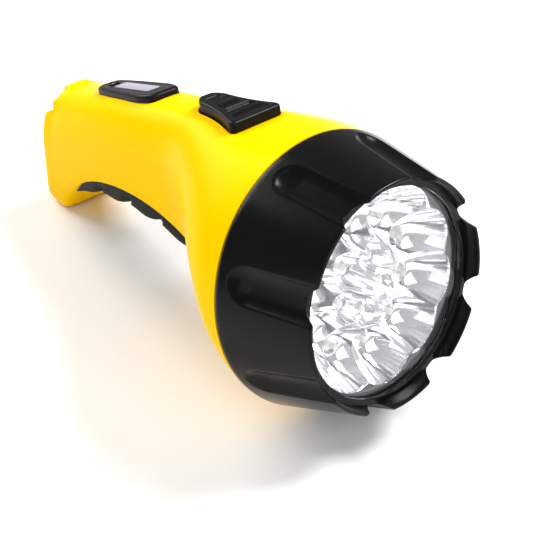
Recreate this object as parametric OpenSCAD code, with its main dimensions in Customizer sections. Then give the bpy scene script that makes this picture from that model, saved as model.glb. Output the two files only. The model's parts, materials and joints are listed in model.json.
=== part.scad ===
// Rechargeable hand lamp: a yellow funnel body with an arched handle and a foot, a black fluted
// head ring, a cluster of LEDs in a chromed reflector, a top slide switch and a sliding mains plug.
// Frame: +X is where the beam points on the floor plan, +Y is left, +Z is up. The lamp stands on the
// head ring's rear edge and on the foot, and the origin is the middle of its box, at the bottom.

/* [Head] */
// Outside diameter of the head ring at its seam with the body
head_d = 90; // [86:1:110]
// Outside diameter of the head ring at its front rim
rim_d = 72; // [72:1:86]
// Length of the head ring along the beam
ring_len = 30.6; // [26:0.2:38]
// Number of flutes round the head ring
flutes = 8; // [6:1:10]
// Radius of a flute's round bottom
flute_r = 8.6; // [7:0.1:10]
// Depth of a flute at the rim
flute_depth = 2.9; // [2:0.1:3.8]
// Depth of a flute behind its round end
flute_tail_depth = 2.4; // [1.2:0.1:2.6]
// Distance from the seam to a flute's round end
flute_start = 4; // [3:0.5:7]
// Wall of the head ring in front of the lens
ring_wall = 1.1; // [1:0.1:2]

/* [Optics] */
// Diameter of the clear lens
lens_d = 66.4; // [62:0.2:67]
// Thickness of the clear lens
lens_t = 2; // [1.5:0.1:2.4]
// Distance from the seam to the lens's front face
lens_front = 25.2; // [24:0.2:26]
// Thickness of the rubber ring behind the lens
gasket_t = 1.2; // [0.8:0.1:1.6]
// LEDs in the outer ring
outer_leds = 10; // [8:1:12]
// LEDs in the inner ring
inner_leds = 5; // [4:1:6]
// Depth of the reflector
reflector_depth = 13; // [10:0.5:14]
// Diameter of one LED
led_d = 5; // [4:0.5:5]

/* [Body] */
// Angle that the beam points above the floor
beam_tilt = 13.9; // [11:0.1:16]
// Width of the handle and the foot
handle_w = 34; // [32:1:41]
// Distance from the seam to the rear of the foot
tail_len = 157; // [150:1:188]
// Height of the handle's rear top edge
tail_h = 55; // [50:1:62]
// Height of the hand's arch under the handle
arch_h = 36; // [33:0.5:40]
// Wall of the two body shells
shell_t = 2.2; // [1.6:0.1:2.6]
// Diameter of the neck that the head ring screws on
neck_d = 80; // [76:0.5:80]
// Length of the neck in front of the seam
neck_len = 8; // [6:0.5:9]

/* [Switch] */
// Length of the slide button
button_len = 27; // [24:0.5:32]
// Width of the slide button at its front
button_w = 22; // [18:0.5:24]
// Width of the slide button at its rear
button_tail_w = 10.5; // [7:0.5:12]
// Height of the slide button above its deck
button_h = 3.4; // [2.5:0.1:4.5]
// Extra height of the slide button at its rear
button_rise = 2.8; // [0:0.1:3]
// Distance from the seam to the button's front edge
button_front = 23; // [22:0.5:26]
// Travel of the slide button from off to full
switch_travel = 5; // [3:0.5:5]

/* [Label] */
// Length of the black plate on the handle's top
plate_len = 42; // [34:1:44]
// Greatest width of the plate
plate_w = 15.5; // [13:0.5:20]
// Thickness of the plate
plate_t = 3; // [2:0.1:3.6]

/* [Grip] */
// Thickness of the rubber grip at its middle
grip_t = 7.2; // [5:0.1:8]
// Number of finger grooves
grip_grooves = 4; // [3:1:5]
// Depth of a finger groove
groove_depth = 1.6; // [1:0.1:2.4]

/* [Power] */
// Length of the battery
battery_l = 40; // [34:1:42]
// Width of the battery
battery_w = 24; // [20:1:26]
// Height of the battery
battery_h = 22; // [18:1:23]
// Diameter of a mains pin
pin_d = 4; // [4:0.1:4.8]
// Length of a mains pin
pin_len = 19; // [18:0.5:20]
// Distance between the two mains pins
pin_gap = 19; // [18:0.5:19.5]
// Travel of the sliding plug
plug_travel = 18; // [16:0.5:19]

/* [Fits] */
// Gap round pieces that are only laid together
fit = 0.2; // [0.1:0.05:0.3]
// Gap between pieces that slide or turn
run_gap = 0.3; // [0.2:0.05:0.4]
// Radial gap between the head ring and the neck
neck_gap = 0.08; // [0.05:0.01:0.1]

/* [Hidden] */
$fn = 64;
eps = 0.01;

YELLOW = [1, 0.85, 0];
BLACK = [0.06, 0.06, 0.07];
RUBBER = [0.12, 0.12, 0.13];
CHROME = [0.9, 0.9, 0.92];
CLEAR = [0.9, 0.95, 1, 0.35];
BOARD = [0.1, 0.4, 0.2];
STEEL = [0.7, 0.7, 0.72];
BRASS = [0.8, 0.65, 0.3];

head_r = head_d / 2;
rim_r = rim_d / 2;
seam_z = head_r * cos(beam_tilt);
front_x = ring_len * cos(beam_tilt) + rim_r * sin(beam_tilt);
seam_x = (tail_len - front_x) / 2;
half_w = handle_w / 2;

// Places a child drawn in the head's frame: origin at the seam's centre, +X along the beam.
module in_head() {
    translate([seam_x, 0, seam_z]) rotate([0, -beam_tilt, 0]) children();
}

// Places a child drawn over the floor with X counted from the seam.
module over_floor() {
    translate([seam_x, 0, 0]) children();
}

// Turns a shape drawn about +Z so that it lies about the beam, +X.
module along_beam() {
    rotate([0, 90, 0]) children();
}

// Places a child drawn at height 0 on the seat of the label plate, which leans with the handle's top.
module on_plate() {
    middle = (plate_front + plate_rear) / 2;
    translate([middle, 0, plate_z]) rotate([0, -plate_lean, 0]) translate([-middle, 0, 0]) children();
}

// A disc about the beam between two stations.
module beam_disc(x0, x1, r) {
    translate([x0, 0, 0]) along_beam() cylinder(h = x1 - x0, r = r);
}

// A ring about the beam between two stations, with two radii.
module beam_ring(x0, x1, r_out, r_in) {
    translate([x0, 0, 0]) along_beam() difference() {
        cylinder(h = x1 - x0, r = r_out);
        translate([0, 0, -1]) cylinder(h = x1 - x0 + 2, r = r_in);
    }
}

// A box in the head's frame from its low corner to its high corner.
module block(lo, hi) {
    translate(lo) cube(hi - lo);
}

// ---- The body's surface: sections between a bottom point and a top point, carried rearwards.
// A section is [bottom x, bottom z, top x, top z, half width, top power, bottom power, height of the
// widest place as a share]. Its outline is a superellipse in each half.
front_r = head_r - 0.4;
seam_gap = 0.3;
// Share by which the handle is longer or shorter than its drawn length
grow = tail_len / 157;

// A point of the head's frame as [x, z] over the floor, counted from the seam.
function to_floor(x, z) = [x * cos(beam_tilt) - z * sin(beam_tilt),
    seam_z + x * sin(beam_tilt) + z * cos(beam_tilt)];

// A point over the floor as [x, z] in the head's frame.
function to_head(x, z) = [x * cos(beam_tilt) + (z - seam_z) * sin(beam_tilt),
    (z - seam_z) * cos(beam_tilt) - x * sin(beam_tilt)];

// The round section that faces the head ring, x behind the seam, with radius r.
function round_section(x, r) = concat(to_floor(x, -r), to_floor(x, r), [r, 2, 2, 0.5]);

tail_sections = [
    [-9, 8.4, -31, seam_z + 39.6, front_r - 6.6, 2.3, 2.05, 0.5],
    [-22, 17, -42, seam_z + 37.8, half_w + 13.6, 2.35, 2.15, 0.5],
    [-37, arch_h - 8.6, -55, seam_z + 35.4, half_w + 5.2, 2.5, 2.8, 0.49],
    [-51, arch_h - 3.2, -65, (seam_z + 33.1 + tail_h + 21.8) / 2, half_w + 1.1, 2.7, 8, 0.46],
    [-67, arch_h + 0.2, -78 * grow, tail_h + 18.4, half_w, 2.8, 14, 0.43],
    [-86 * grow, arch_h - 0.2, -95 * grow, tail_h + 14.1, half_w, 2.8, 14, 0.42],
    [-105 * grow, arch_h - 4.4, -112 * grow, tail_h + 9, half_w, 2.8, 14, 0.42],
    [-120 * grow, arch_h - 11, -125 * grow, tail_h + 4.6, half_w, 2.8, 14, 0.42],
    [-131 * grow, arch_h - 19.6, -134 * grow, tail_h + 1.7, half_w, 2.7, 12, 0.46],
    [-138.5 * grow, 9, -140 * grow, tail_h - 0.1, half_w, 2.6, 9, 0.5],
    [-145 * grow, 0, -144 * grow, tail_h - 0.8, half_w, 2.6, 9, 0.5],
    [1.2 - tail_len, 0, 9 - tail_len, tail_h - 0.9, half_w, 2.6, 9, 0.5],
    [-tail_len, 1.2, 8.4 - tail_len, tail_h - 2.3, half_w - 1, 2.6, 7, 0.5]
];
shoulder = [2, 2.6, -21, seam_z + 41.3, front_r - 1.6, 2.2, 2, 0.5];
sections = concat([round_section(-seam_gap, front_r), shoulder], tail_sections);
SIDE = 16;
STEPS = 2;

function spline(p0, p1, p2, p3, u) = 0.5 * (2 * p1 + (p2 - p0) * u
    + (2 * p0 - 5 * p1 + 4 * p2 - p3) * u * u + (3 * p1 - p0 - 3 * p2 + p3) * u * u * u);

function section_at(list, t) = let(last = len(list) - 1, i = min(floor(t), last - 1))
    spline(list[max(i - 1, 0)], list[i], list[i + 1], list[min(i + 2, last)], t - i);

// A section moved inwards by d on every side.
function inset(s, d) = let(dx = s[2] - s[0], dz = s[3] - s[1], high = sqrt(dx * dx + dz * dz))
    [s[0] + dx / high * d, s[1] + dz / high * d, s[2] - dx / high * d, s[3] - dz / high * d,
        s[4] - d, s[5], s[6], (s[7] * high - d) / (high - 2 * d)];

// Point of a section at an angle from 90 (top) to -90 (bottom), on the right-hand side.
function outline(s, a) = let(
        up = sin(a) >= 0,
        rise = pow(abs(sin(a)), 2 / (up ? s[5] : s[6])),
        v = up ? s[7] + (1 - s[7]) * rise : s[7] - s[7] * rise,
        y = -s[4] * pow(max(cos(a), 0), 2 / (up ? s[5] : s[6]))
    ) [s[0] + (s[2] - s[0]) * v, y, max(s[1] + (s[3] - s[1]) * v, 0)];

// Right-hand half of a lofted solid. past is how far its flat side stands beyond the middle plane.
module half_loft(list, past = 0) {
    rows = [for (t = [0 : 1 / STEPS : len(list) - 1]) section_at(list, t)];
    ring = [for (s = rows) concat(
        past > 0 ? [outline(s, 90) + [0, past, 0]] : [],
        [for (k = [0 : SIDE]) outline(s, 90 - 180 * k / SIDE)],
        past > 0 ? [outline(s, -90) + [0, past, 0]] : [])];
    m = len(ring[0]);
    n = len(ring);
    polyhedron(
        points = [for (r = ring) for (p = r) p],
        faces = concat(
            [[for (k = [m - 1 : -1 : 0]) k]],
            [[for (k = [0 : m - 1]) (n - 1) * m + k]],
            [for (i = [0 : n - 2]) for (k = [0 : m - 1]) let(j = (k + 1) % m)
                [i * m + k, i * m + j, (i + 1) * m + k]],
            [for (i = [0 : n - 2]) for (k = [0 : m - 1]) let(j = (k + 1) % m)
                [i * m + j, (i + 1) * m + j, (i + 1) * m + k]]),
        convexity = 6);
}

// ---- Places worked out from the surface and the sizes above.
// Height of the body's top and bottom in the head's frame at x.
function top_at(x) = lookup(x, [for (s = sections) to_head(s[2], s[3])]);
function bottom_at(x) = lookup(x, [for (s = sections) to_head(s[0], s[1])]);

// Height of the arch over the floor at x from the seam.
function arch_at(x) = lookup(x, [for (s = sections) [s[0], s[1]]]);

neck_r = neck_d / 2;
neck_wall = 2.6;
flange_t = 2.4;
lens_r = lens_d / 2;
lip_t = 1.4;
lip_r = lens_r - 0.8;
lip_step = 1.8;
lens_back = lens_front - lens_t;
reflector_front = lens_back - gasket_t;
reflector_back = reflector_front - reflector_depth;
flange_r = neck_r - 1.8;
board_t = 1.6;
led_board_r = neck_r - neck_wall - 6;

button_mid = -button_front - button_len / 2;
deck_z = min(top_at(-button_front), top_at(-button_front - button_len)) - 1.2;
lever = [3, 4];
can = [18, 9, 7];
can_top = deck_z - shell_t - 1;

plate_front = -73;
plate_rear = plate_front - plate_len;
plate_z = (top_at(plate_front) + top_at(plate_rear)) / 2 - 0.5;
plate_lean = atan((top_at(plate_front) - top_at(plate_rear)) / plate_len);
card_t = 0.4;
indicator_x = plate_rear + 6;
indicator_r = 1.6;

battery_front = -12;
battery_rear = battery_front - battery_l;
pad_t = 1.5;
pad_z = max(bottom_at(battery_rear), bottom_at(battery_front)) + shell_t + 1;
battery_z = pad_z + pad_t;

pcb_front = -68;
pcb_rear = -114;
pcb_w = handle_w - 2 * shell_t - 5;
pcb_z = top_at((pcb_front + pcb_rear) / 2) - shell_t - 12.5;
cap_size = [16, 7, 8.5];

// Steps in the rear top of the tail: [length, half width left standing, depth under tail_h]
outer_step = [14, 11, 10.4];
inner_step = [13, 5.2, 6];

// Sections of the hollow inside the two shells
cavity_start = round_section(-seam_gap - flange_t, front_r - shell_t - 0.6);
cavity_roof = tail_h - outer_step[2] - 1.6;
cavity_end = [3.4 - tail_len, 2.4, 9.6 - tail_len, cavity_roof, half_w - shell_t, 7, 7, 0.5];
cavity_tail = [outer_step[0] - 2 - tail_len, 2.4, outer_step[0] - tail_len, cavity_roof,
    half_w - shell_t, 6, 7, 0.5];
cavity = concat([cavity_start], [for (i = [1 : len(sections) - 4]) inset(sections[i], shell_t)],
    [cavity_tail, cavity_end]);

rail_t = 2;
plug_block = [9, handle_w - 2 * shell_t - 4.8, 10];
plug_z = arch_at(-119 * grow) + shell_t + rail_t + 0.4 + plug_block[2] / 2;
rear_at_plug = -tail_len + 8 * plug_z / tail_h;
plug_top = plug_z + plug_block[2] / 2;
plug_x = cavity_end[0] + (cavity_end[2] - cavity_end[0]) * (plug_top - cavity_end[1])
    / (cavity_end[3] - cavity_end[1]) + run_gap + plug_travel;
thumb = [5, 4];

screw_r = 1.45;
screw_head_r = 2.7;
screw_head_t = 2;
screw_head_y = 12;
screw_depth = 8;
boss_r = 4.4;
bosses = [[-13, seam_z + 32], [-14, 22], [-64, (seam_z + 33 + tail_h + 20.6) / 2 - 8],
    [-136 * grow, tail_h - 7.5], [-147 * grow, 7.6]];

// ---- The two body shells
// A cylinder across the body, along Y, at [x, z] over the floor.
module cross_pin(at, r, y0, y1) {
    translate([at[0], y0, at[1]]) rotate([-90, 0, 0]) cylinder(h = y1 - y0, r = r);
}

// Posts, ribs and rails that stay solid inside the cavity of one half (drawn for both sides).
module inner_posts() {
    over_floor() {
        for (b = bosses) cross_pin(b, boss_r, -head_r, head_r);
        for (side = [-1, 1]) for (dz = [-1, 1])
            translate([(rear_at_plug + plug_x + plug_block[0]) / 2,
                side * (plug_block[1] / 2 + 1), plug_z + dz * (plug_block[2] / 2 + run_gap + rail_t / 2)])
                cube([plug_x + plug_block[0] - rear_at_plug, 5, rail_t], center = true);
    }
    in_head() {
        for (x = [pcb_rear + 6, pcb_front - 6]) for (side = [-1, 1]) difference() {
            translate([x, side * (pcb_w / 2 + 1.5), pcb_z + board_t / 2]) cube([4, 5, 7], center = true);
            block([x - 3, -pcb_w / 2 - fit, pcb_z - fit], [x + 3, pcb_w / 2 + fit, pcb_z + board_t + fit]);
        }
        for (x = [button_mid - can[0] / 2 - fit - 1, button_mid + can[0] / 2 + fit + 1])
            translate([x, 0, can_top]) cube([2, 14, 12], center = true);
        for (side = [-1, 1])
            translate([battery_rear + 6, side * (battery_w / 2 + fit + 3), battery_z + 5])
                cube([2, 6, 16], center = true);
    }
}

// Everything cut from both shells: openings, seats and holes.
module shell_cuts() {
    in_head() {
        translate([-10, 0, 0]) along_beam() cylinder(h = 30, r = neck_r - neck_wall);
        translate([-button_front, 0, deck_z]) linear_extrude(20)
            polygon(button_plan(run_gap + 0.3, switch_travel));
        block([button_mid - lever[0] / 2 - run_gap, -lever[1] / 2 - run_gap, can_top - 1],
            [button_mid + lever[0] / 2 + switch_travel + run_gap, lever[1] / 2 + run_gap, deck_z + 1]);
        on_plate() {
            linear_extrude(20) plate_outline(fit);
            translate([indicator_x, 0, -8]) cylinder(h = 9, r = indicator_r + fit);
        }
    }
    over_floor() {
        for (side = [-1, 1]) translate([rear_at_plug - 4, side * pin_gap / 2, plug_z])
            rotate([0, 90, 0]) cylinder(h = 10, r = pin_d / 2 + run_gap);
        for (side = [-1, 1]) {
            for (s = [outer_step, inner_step])
                translate([-tail_len - 2, side > 0 ? s[1] : -head_r, tail_h - s[2]])
                    cube([s[0], head_r - s[1], 20]);
        }
        for (x = grip_studs) translate([x, 0, 0]) cylinder(h = arch_h + 8, r = stud_r + fit);
    }
}

module body_half() {
    difference() {
        union() {
            over_floor() half_loft(sections);
            in_head() intersection() {
                beam_disc(-seam_gap - flange_t / 2, neck_len, neck_r);
                block([-20, -head_r - 1, -head_r - 1], [20, 0, head_r + 1]);
            }
        }
        difference() {
            over_floor() half_loft(cavity, 1);
            inner_posts();
        }
        shell_cuts();
        over_floor() for (b = bosses) cross_pin(b, screw_r + 0.02, -screw_depth - 1, 1);
    }
}

module body_right() {
    color(YELLOW) body_half();
}

module body_left() {
    color(YELLOW) difference() {
        mirror([0, 1, 0]) body_half();
        over_floor() {
            for (b = bosses) cross_pin(b, screw_r + fit, -1, screw_head_y);
            for (b = bosses) cross_pin(b, screw_head_r + fit, screw_head_y - screw_head_t - fit, head_r + 1);
            translate([plug_x + plug_block[0] / 2 - thumb[0] / 2 - plug_travel - run_gap, 0,
                plug_z - thumb[1] / 2 - run_gap])
                cube([thumb[0] + plug_travel + 2 * run_gap, half_w + 5, thumb[1] + 2 * run_gap]);
        }
    }
}

// ---- Head ring: a thin cone with flutes that open through its rim
// Radius of the ring's cone at x in front of the seam.
function cone_r(x) = head_r - (head_r - rim_r) * x / ring_len;

// Round-ended cutters that make the flutes, drawn about +Z. They break through the rim in shallow notches.
module flute_cutters() {
    drop = rim_r - flute_depth;
    rise = cone_r(flute_start) - flute_tail_depth;
    lean = atan((rise - drop) / (ring_len - flute_start));
    end_at = flute_start + sqrt(pow(flute_r, 2) - pow(flute_r - flute_tail_depth, 2));
    for (i = [0 : flutes - 1])
        rotate([0, 0, 360 / flutes * (i + 0.5)]) translate([rise + flute_r, 0, flute_start])
            rotate([0, -lean, 0]) translate([0, 0, end_at - flute_start]) {
                cylinder(h = ring_len + 12, r = flute_r);
                sphere(r = flute_r);
            }
}

module head_ring() {
    seat = lens_r + fit;
    lip_front = lens_front + lip_t;
    color(BLACK) in_head() along_beam() difference() {
        rotate_extrude() polygon([[0, 0], [head_r, 0], [rim_r, ring_len], [0, ring_len]]);
        flute_cutters();
        rotate_extrude() polygon([
            [0, -1], [neck_r + neck_gap, -1], [neck_r + neck_gap, neck_len], [flange_r + fit, neck_len],
            [flange_r + fit, neck_len + 2], [seat + 2.8, neck_len + 4.4],
            [seat + 0.8, reflector_front - 0.6], [seat, reflector_front - 0.6], [seat, lens_front],
            [lip_r, lens_front], [lip_r, lip_front], [0, lip_front]]);
        rotate_extrude() polygon([
            [0, lip_front - eps], [lip_r + lip_step, lip_front - eps],
            [rim_r - ring_wall, ring_len + eps], [0, ring_len + eps]]);
    }
}

// ---- Optics
module lens() {
    color(CLEAR) in_head() beam_disc(lens_back, lens_front - 0.05, lens_r);
}

module lens_gasket() {
    color(RUBBER) in_head() beam_ring(reflector_front + 0.02, lens_back - 0.02, lens_r, lens_r - 1);
}

outer_cup = [21, 11.3];
inner_cup = [9.2, 7.6];
// Places a child at each LED: [angle, radius] about the beam.
module at_leds(outer = true, inner = true) {
    if (outer) for (i = [0 : outer_leds - 1])
        rotate([0, 0, 360 / outer_leds * i]) translate([outer_cup[0], 0, 0]) children();
    if (inner) for (i = [0 : inner_leds - 1])
        rotate([0, 0, 360 / inner_leds * i]) translate([inner_cup[0], 0, 0]) children();
}

module reflector() {
    cup_floor = 1.6;
    color(CHROME) in_head() translate([reflector_back, 0, 0]) along_beam() difference() {
        union() {
            cylinder(h = reflector_depth, r = lens_r - 0.1);
            translate([0, 0, neck_len + 0.02 - reflector_back]) difference() {
                cylinder(h = 1.6, r = flange_r);
                translate([0, 0, -1]) cylinder(h = 1 + reflector_back - neck_len, r = led_board_r + 0.8);
            }
        }
        at_leds() translate([0, 0, -1]) cylinder(h = 10, r = led_d / 2 + 0.4);
        at_leds(inner = false) translate([0, 0, cup_floor])
            cylinder(h = reflector_depth - cup_floor + eps, r1 = led_d / 2 + 0.8, r2 = outer_cup[1]);
        at_leds(outer = false) translate([0, 0, cup_floor])
            cylinder(h = reflector_depth - cup_floor + eps, r1 = led_d / 2 + 0.8, r2 = inner_cup[1]);
        for (a = board_screw_angles) rotate([0, 0, a]) translate([board_screw_at, 0, -1])
            cylinder(h = 5, r = 1);
    }
}

board_screw_at = led_board_r - 2.2;
board_screw_angles = [for (i = [0 : 2]) 360 / outer_leds * 0.5 + 120 * i];
module led_board() {
    color(BOARD) in_head() translate([reflector_back - fit - board_t, 0, 0]) along_beam() difference() {
        cylinder(h = board_t, r = led_board_r);
        for (a = board_screw_angles) rotate([0, 0, a]) translate([board_screw_at, 0, -1])
            cylinder(h = 5, r = 1.1);
    }
}

module board_screws() {
    color(STEEL) in_head() translate([reflector_back - fit - board_t, 0, 0]) along_beam()
        for (a = board_screw_angles) rotate([0, 0, a]) translate([board_screw_at, 0, 0]) {
            translate([0, 0, -1.2]) cylinder(h = 1.2, r = 1.9);
            translate([0, 0, -0.6]) cylinder(h = 5, r = 0.95);
        }
}

module leds() {
    flange_h = 1;
    dome_at = 8.6 - led_d / 2;
    color([0.95, 0.95, 0.9]) in_head() translate([reflector_back - fit + 0.02, 0, 0]) along_beam()
        at_leds() {
            cylinder(h = flange_h, r = led_d / 2 + 0.3);
            cylinder(h = dome_at, r = led_d / 2);
            translate([0, 0, dome_at]) sphere(r = led_d / 2);
        }
}

// ---- Switch
// Plan of the slide button: wide front, concave sides, narrow round rear. grown adds a gap on every
// side, and ahead lengthens it forwards, for the pocket that the button slides in.
function button_plan(grown = 0, ahead = 0) = let(n = 10,
        right = [for (i = [0 : n]) let(u = i / n) [-(button_len + grown) * u, -button_plan_w(u) - grown]],
        front = ahead > 0 ? [[ahead + grown, right[0][1]]] : [],
        half = concat(front, right))
    concat(half, [for (i = [len(half) - 1 : -1 : 0]) [half[i][0], -half[i][1]]]);
function button_plan_w(u) = button_tail_w / 2 * sqrt(max(1 - pow(max(u - 0.85, 0) / 0.15, 2), 0.2))
    + (button_w - button_tail_w) / 2 * pow(1 - u, 2.2);

module switch_button() {
    rib_t = 1;
    lean = atan(button_rise / button_len);
    color(BLACK) in_head() translate([-button_front, 0, deck_z + run_gap]) difference() {
        union() {
            difference() {
                linear_extrude(button_h + button_rise) polygon(button_plan());
                translate([0, 0, button_h]) rotate([0, lean, 0])
                    translate([-2 * button_len, -button_w, 0]) cube([3 * button_len, 2 * button_w, 20]);
            }
            translate([0, 0, button_h]) rotate([0, lean, 0])
                for (u = [0.2, 0.38, 0.56]) let(w = button_plan_w(u) - 1.6)
                    translate([-button_len * u, 0, 0]) cube([rib_t, 2 * w, 0.8], center = true);
        }
        translate([-button_len / 2, 0, 0])
            cube([lever[0] + 2 * fit, lever[1] + 2 * fit, 4], center = true);
    }
}

module switch_lever() {
    color([0.85, 0.85, 0.82]) in_head()
        block([button_mid - lever[0] / 2, -lever[1] / 2, can_top - 2],
            [button_mid + lever[0] / 2, lever[1] / 2, deck_z + run_gap + 1.8]);
}

module slide_switch() {
    color(STEEL) in_head() difference() {
        block([button_mid - can[0] / 2, -can[1] / 2, can_top - can[2]],
            [button_mid + can[0] / 2, can[1] / 2, can_top]);
        block([button_mid - lever[0] / 2 - run_gap, -lever[1] / 2 - run_gap, can_top - 2 - run_gap],
            [button_mid + lever[0] / 2 + switch_travel + run_gap, lever[1] / 2 + run_gap, can_top + 1]);
    }
}

// ---- Label plate with its blank card and the charge indicator
module plate_outline(grown) {
    rear_w = plate_w * 0.3;
    front_w = plate_w * 0.38;
    g = grown;
    polygon([
        [plate_front + g, -front_w - g], [plate_front + g, front_w + g],
        [plate_front - 6, plate_w / 2 + g], [plate_front - 12, plate_w / 2 + g],
        [plate_rear + 3, rear_w + 1.6 + g], [plate_rear - g, rear_w - 1 + g],
        [plate_rear - g, -rear_w + 1 - g], [plate_rear + 3, -rear_w - 1.6 - g],
        [plate_front - 12, -plate_w / 2 - g], [plate_front - 6, -plate_w / 2 - g]]);
}

card_lo = [plate_rear + 10.5, -plate_w * 0.18];
card_hi = [plate_front - 8, plate_w * 0.18];
module label_plate() {
    color(BLACK) in_head() on_plate() difference() {
        linear_extrude(plate_t) plate_outline(0);
        block([card_lo[0] - fit, card_lo[1] - fit, plate_t - card_t],
            [card_hi[0] + fit, card_hi[1] + fit, plate_t + 1]);
        translate([indicator_x, 0, -1]) cylinder(h = plate_t + 2, r = indicator_r + fit);
    }
}

module label_card() {
    color([0.8, 0.78, 0.8]) in_head() on_plate()
        block([card_lo[0], card_lo[1], plate_t - card_t + 0.02], [card_hi[0], card_hi[1], plate_t]);
}

module charge_led() {
    color([0.25, 0.02, 0.02]) in_head() on_plate() translate([indicator_x, 0, -6]) {
        cylinder(h = plate_t + 5.6, r = indicator_r);
        cylinder(h = 1, r = indicator_r + 0.1);
    }
}

// ---- Rubber grip under the arch
stud_r = 2.6;
grip_front = -49;
grip_rear = -129 * grow;
grip_studs = [-72, -104 * grow];
GRIP_ROWS = 40;
// Thickness of the grip at a share u of its length: full in the middle, thin at both ends, grooved.
function grip_depth(u) = 1 + (grip_t - 1) * pow(sin(180 * u), 0.5)
    - groove_depth * (0.5 + 0.5 * cos(360 * grip_grooves * u)) * pow(sin(180 * u), 0.3);

module grip_insert() {
    side_w = half_w - 0.15;
    rows = [for (i = [0 : GRIP_ROWS]) let(
        u = i / GRIP_ROWS, x = grip_front + (grip_rear - grip_front) * u,
        z = arch_spline(x) - 0.1, d = grip_depth(u))
        [for (k = [0 : 10]) let(a = 180 * k / 10)
            [x, -side_w * sign(cos(a)) * pow(abs(cos(a)), 0.4), z - d * (0.12 + 0.88 * pow(sin(a), 0.5))]]];
    m = 13;
    ring = [for (i = [0 : GRIP_ROWS]) let(x = rows[i][0][0], z = arch_spline(x) - 0.1)
        concat([[x, -side_w, z]], rows[i], [[x, side_w, z]])];
    color(RUBBER) over_floor() {
        polyhedron(
            points = [for (r = ring) for (p = r) p],
            faces = concat(
                [[for (k = [m - 1 : -1 : 0]) k]],
                [[for (k = [0 : m - 1]) GRIP_ROWS * m + k]],
                [for (i = [0 : GRIP_ROWS - 1]) for (k = [0 : m - 1]) let(j = (k + 1) % m)
                    [i * m + k, i * m + j, (i + 1) * m + k]],
                [for (i = [0 : GRIP_ROWS - 1]) for (k = [0 : m - 1]) let(j = (k + 1) % m)
                    [i * m + j, (i + 1) * m + j, (i + 1) * m + k]]),
            convexity = 4);
        for (x = grip_studs) translate([x, 0, arch_at(x) - 2]) cylinder(h = shell_t + 3.4, r = stud_r);
    }
}

// Height of the arch over the floor on the rows that the body's surface has.
function arch_spline(x) = lookup(x, [for (t = [0 : 1 / STEPS : len(sections) - 1])
    let(s = section_at(sections, t)) [s[0], s[1]]]);

// ---- Power
module battery() {
    color([0.2, 0.2, 0.22]) in_head() block([battery_rear, -battery_w / 2, battery_z],
        [battery_front, battery_w / 2, battery_z + battery_h]);
}

module battery_pad() {
    color([0.3, 0.3, 0.3]) in_head() block([battery_rear + 2, -battery_w / 2 + 1, pad_z],
        [battery_front - 2, battery_w / 2 - 1, battery_z - 0.02]);
}

tab_y = 5;
tab_z = battery_z + battery_h - 5;
module battery_terminals() {
    color(STEEL) in_head() for (side = [-1, 1])
        block([battery_rear - 1.2, side * tab_y - 2, tab_z - 2.5],
            [battery_rear - 0.02, side * tab_y + 2, tab_z + 2.5]);
}

module charger_board() {
    color(BOARD) in_head() block([pcb_rear, -pcb_w / 2, pcb_z], [pcb_front, pcb_w / 2, pcb_z + board_t]);
}

pcb_top = pcb_z + board_t + 0.02;
module dropper_capacitor() {
    color([0.75, 0.1, 0.08]) in_head()
        block([pcb_rear + 12, -cap_size[1] / 2 - 3, pcb_top],
            [pcb_rear + 12 + cap_size[0], cap_size[1] / 2 - 3, pcb_top + cap_size[2] - 1]);
}

module rectifier_diodes() {
    r = 1.3;
    color([0.1, 0.1, 0.1]) in_head() for (i = [0 : 3])
        translate([pcb_front - 6 - 3.6 * i, 2, pcb_top + r]) rotate([-90, 0, 0]) cylinder(h = 5, r = r);
}

module board_resistors() {
    r = 1.2;
    color([0.7, 0.6, 0.45]) in_head() for (y = [-7, -4])
        translate([pcb_front - 16, y, pcb_top + r]) rotate([0, 90, 0]) cylinder(h = 7, r = r);
}

module plug_carriage() {
    color(BLACK) over_floor() difference() {
        translate([plug_x, -plug_block[1] / 2, plug_z - plug_block[2] / 2]) cube(plug_block);
        for (side = [-1, 1]) translate([plug_x - 1, side * pin_gap / 2, plug_z])
            rotate([0, 90, 0]) cylinder(h = 6, r = pin_d / 2 + 0.02);
    }
}

module plug_thumb_slide() {
    color(BLACK) over_floor() translate([plug_x + plug_block[0] / 2 - thumb[0] / 2,
        plug_block[1] / 2 + 0.02, plug_z - thumb[1] / 2])
        cube([thumb[0], half_w + 1.6 - plug_block[1] / 2, thumb[1]]);
}

module plug_pins() {
    color(BRASS) over_floor() for (side = [-1, 1])
        translate([plug_x - pin_len + 2, side * pin_gap / 2, plug_z]) rotate([0, 90, 0]) {
            cylinder(h = pin_len + 2.8, r = pin_d / 2);
            sphere(r = pin_d / 2);
        }
}

module charge_contacts() {
    strip_t = 0.4;
    strip_z = plug_z + plug_block[2] / 2 + run_gap;
    leg_x = plug_x + plug_block[0] + 1;
    color(BRASS) over_floor() for (side = [-1, 1])
        translate([0, side * pin_gap / 2 * 0.7 - 1.5, 0]) {
            translate([leg_x - 16, 0, strip_z]) cube([16, 3, strip_t]);
            translate([leg_x - strip_t, 0, strip_z]) cube([strip_t, 3, 4.6]);
        }
}

module body_screws() {
    color(STEEL) over_floor() for (b = bosses) {
        cross_pin(b, screw_r, -screw_depth, screw_head_y - 1);
        cross_pin(b, screw_head_r, screw_head_y - screw_head_t, screw_head_y);
    }
}

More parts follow.
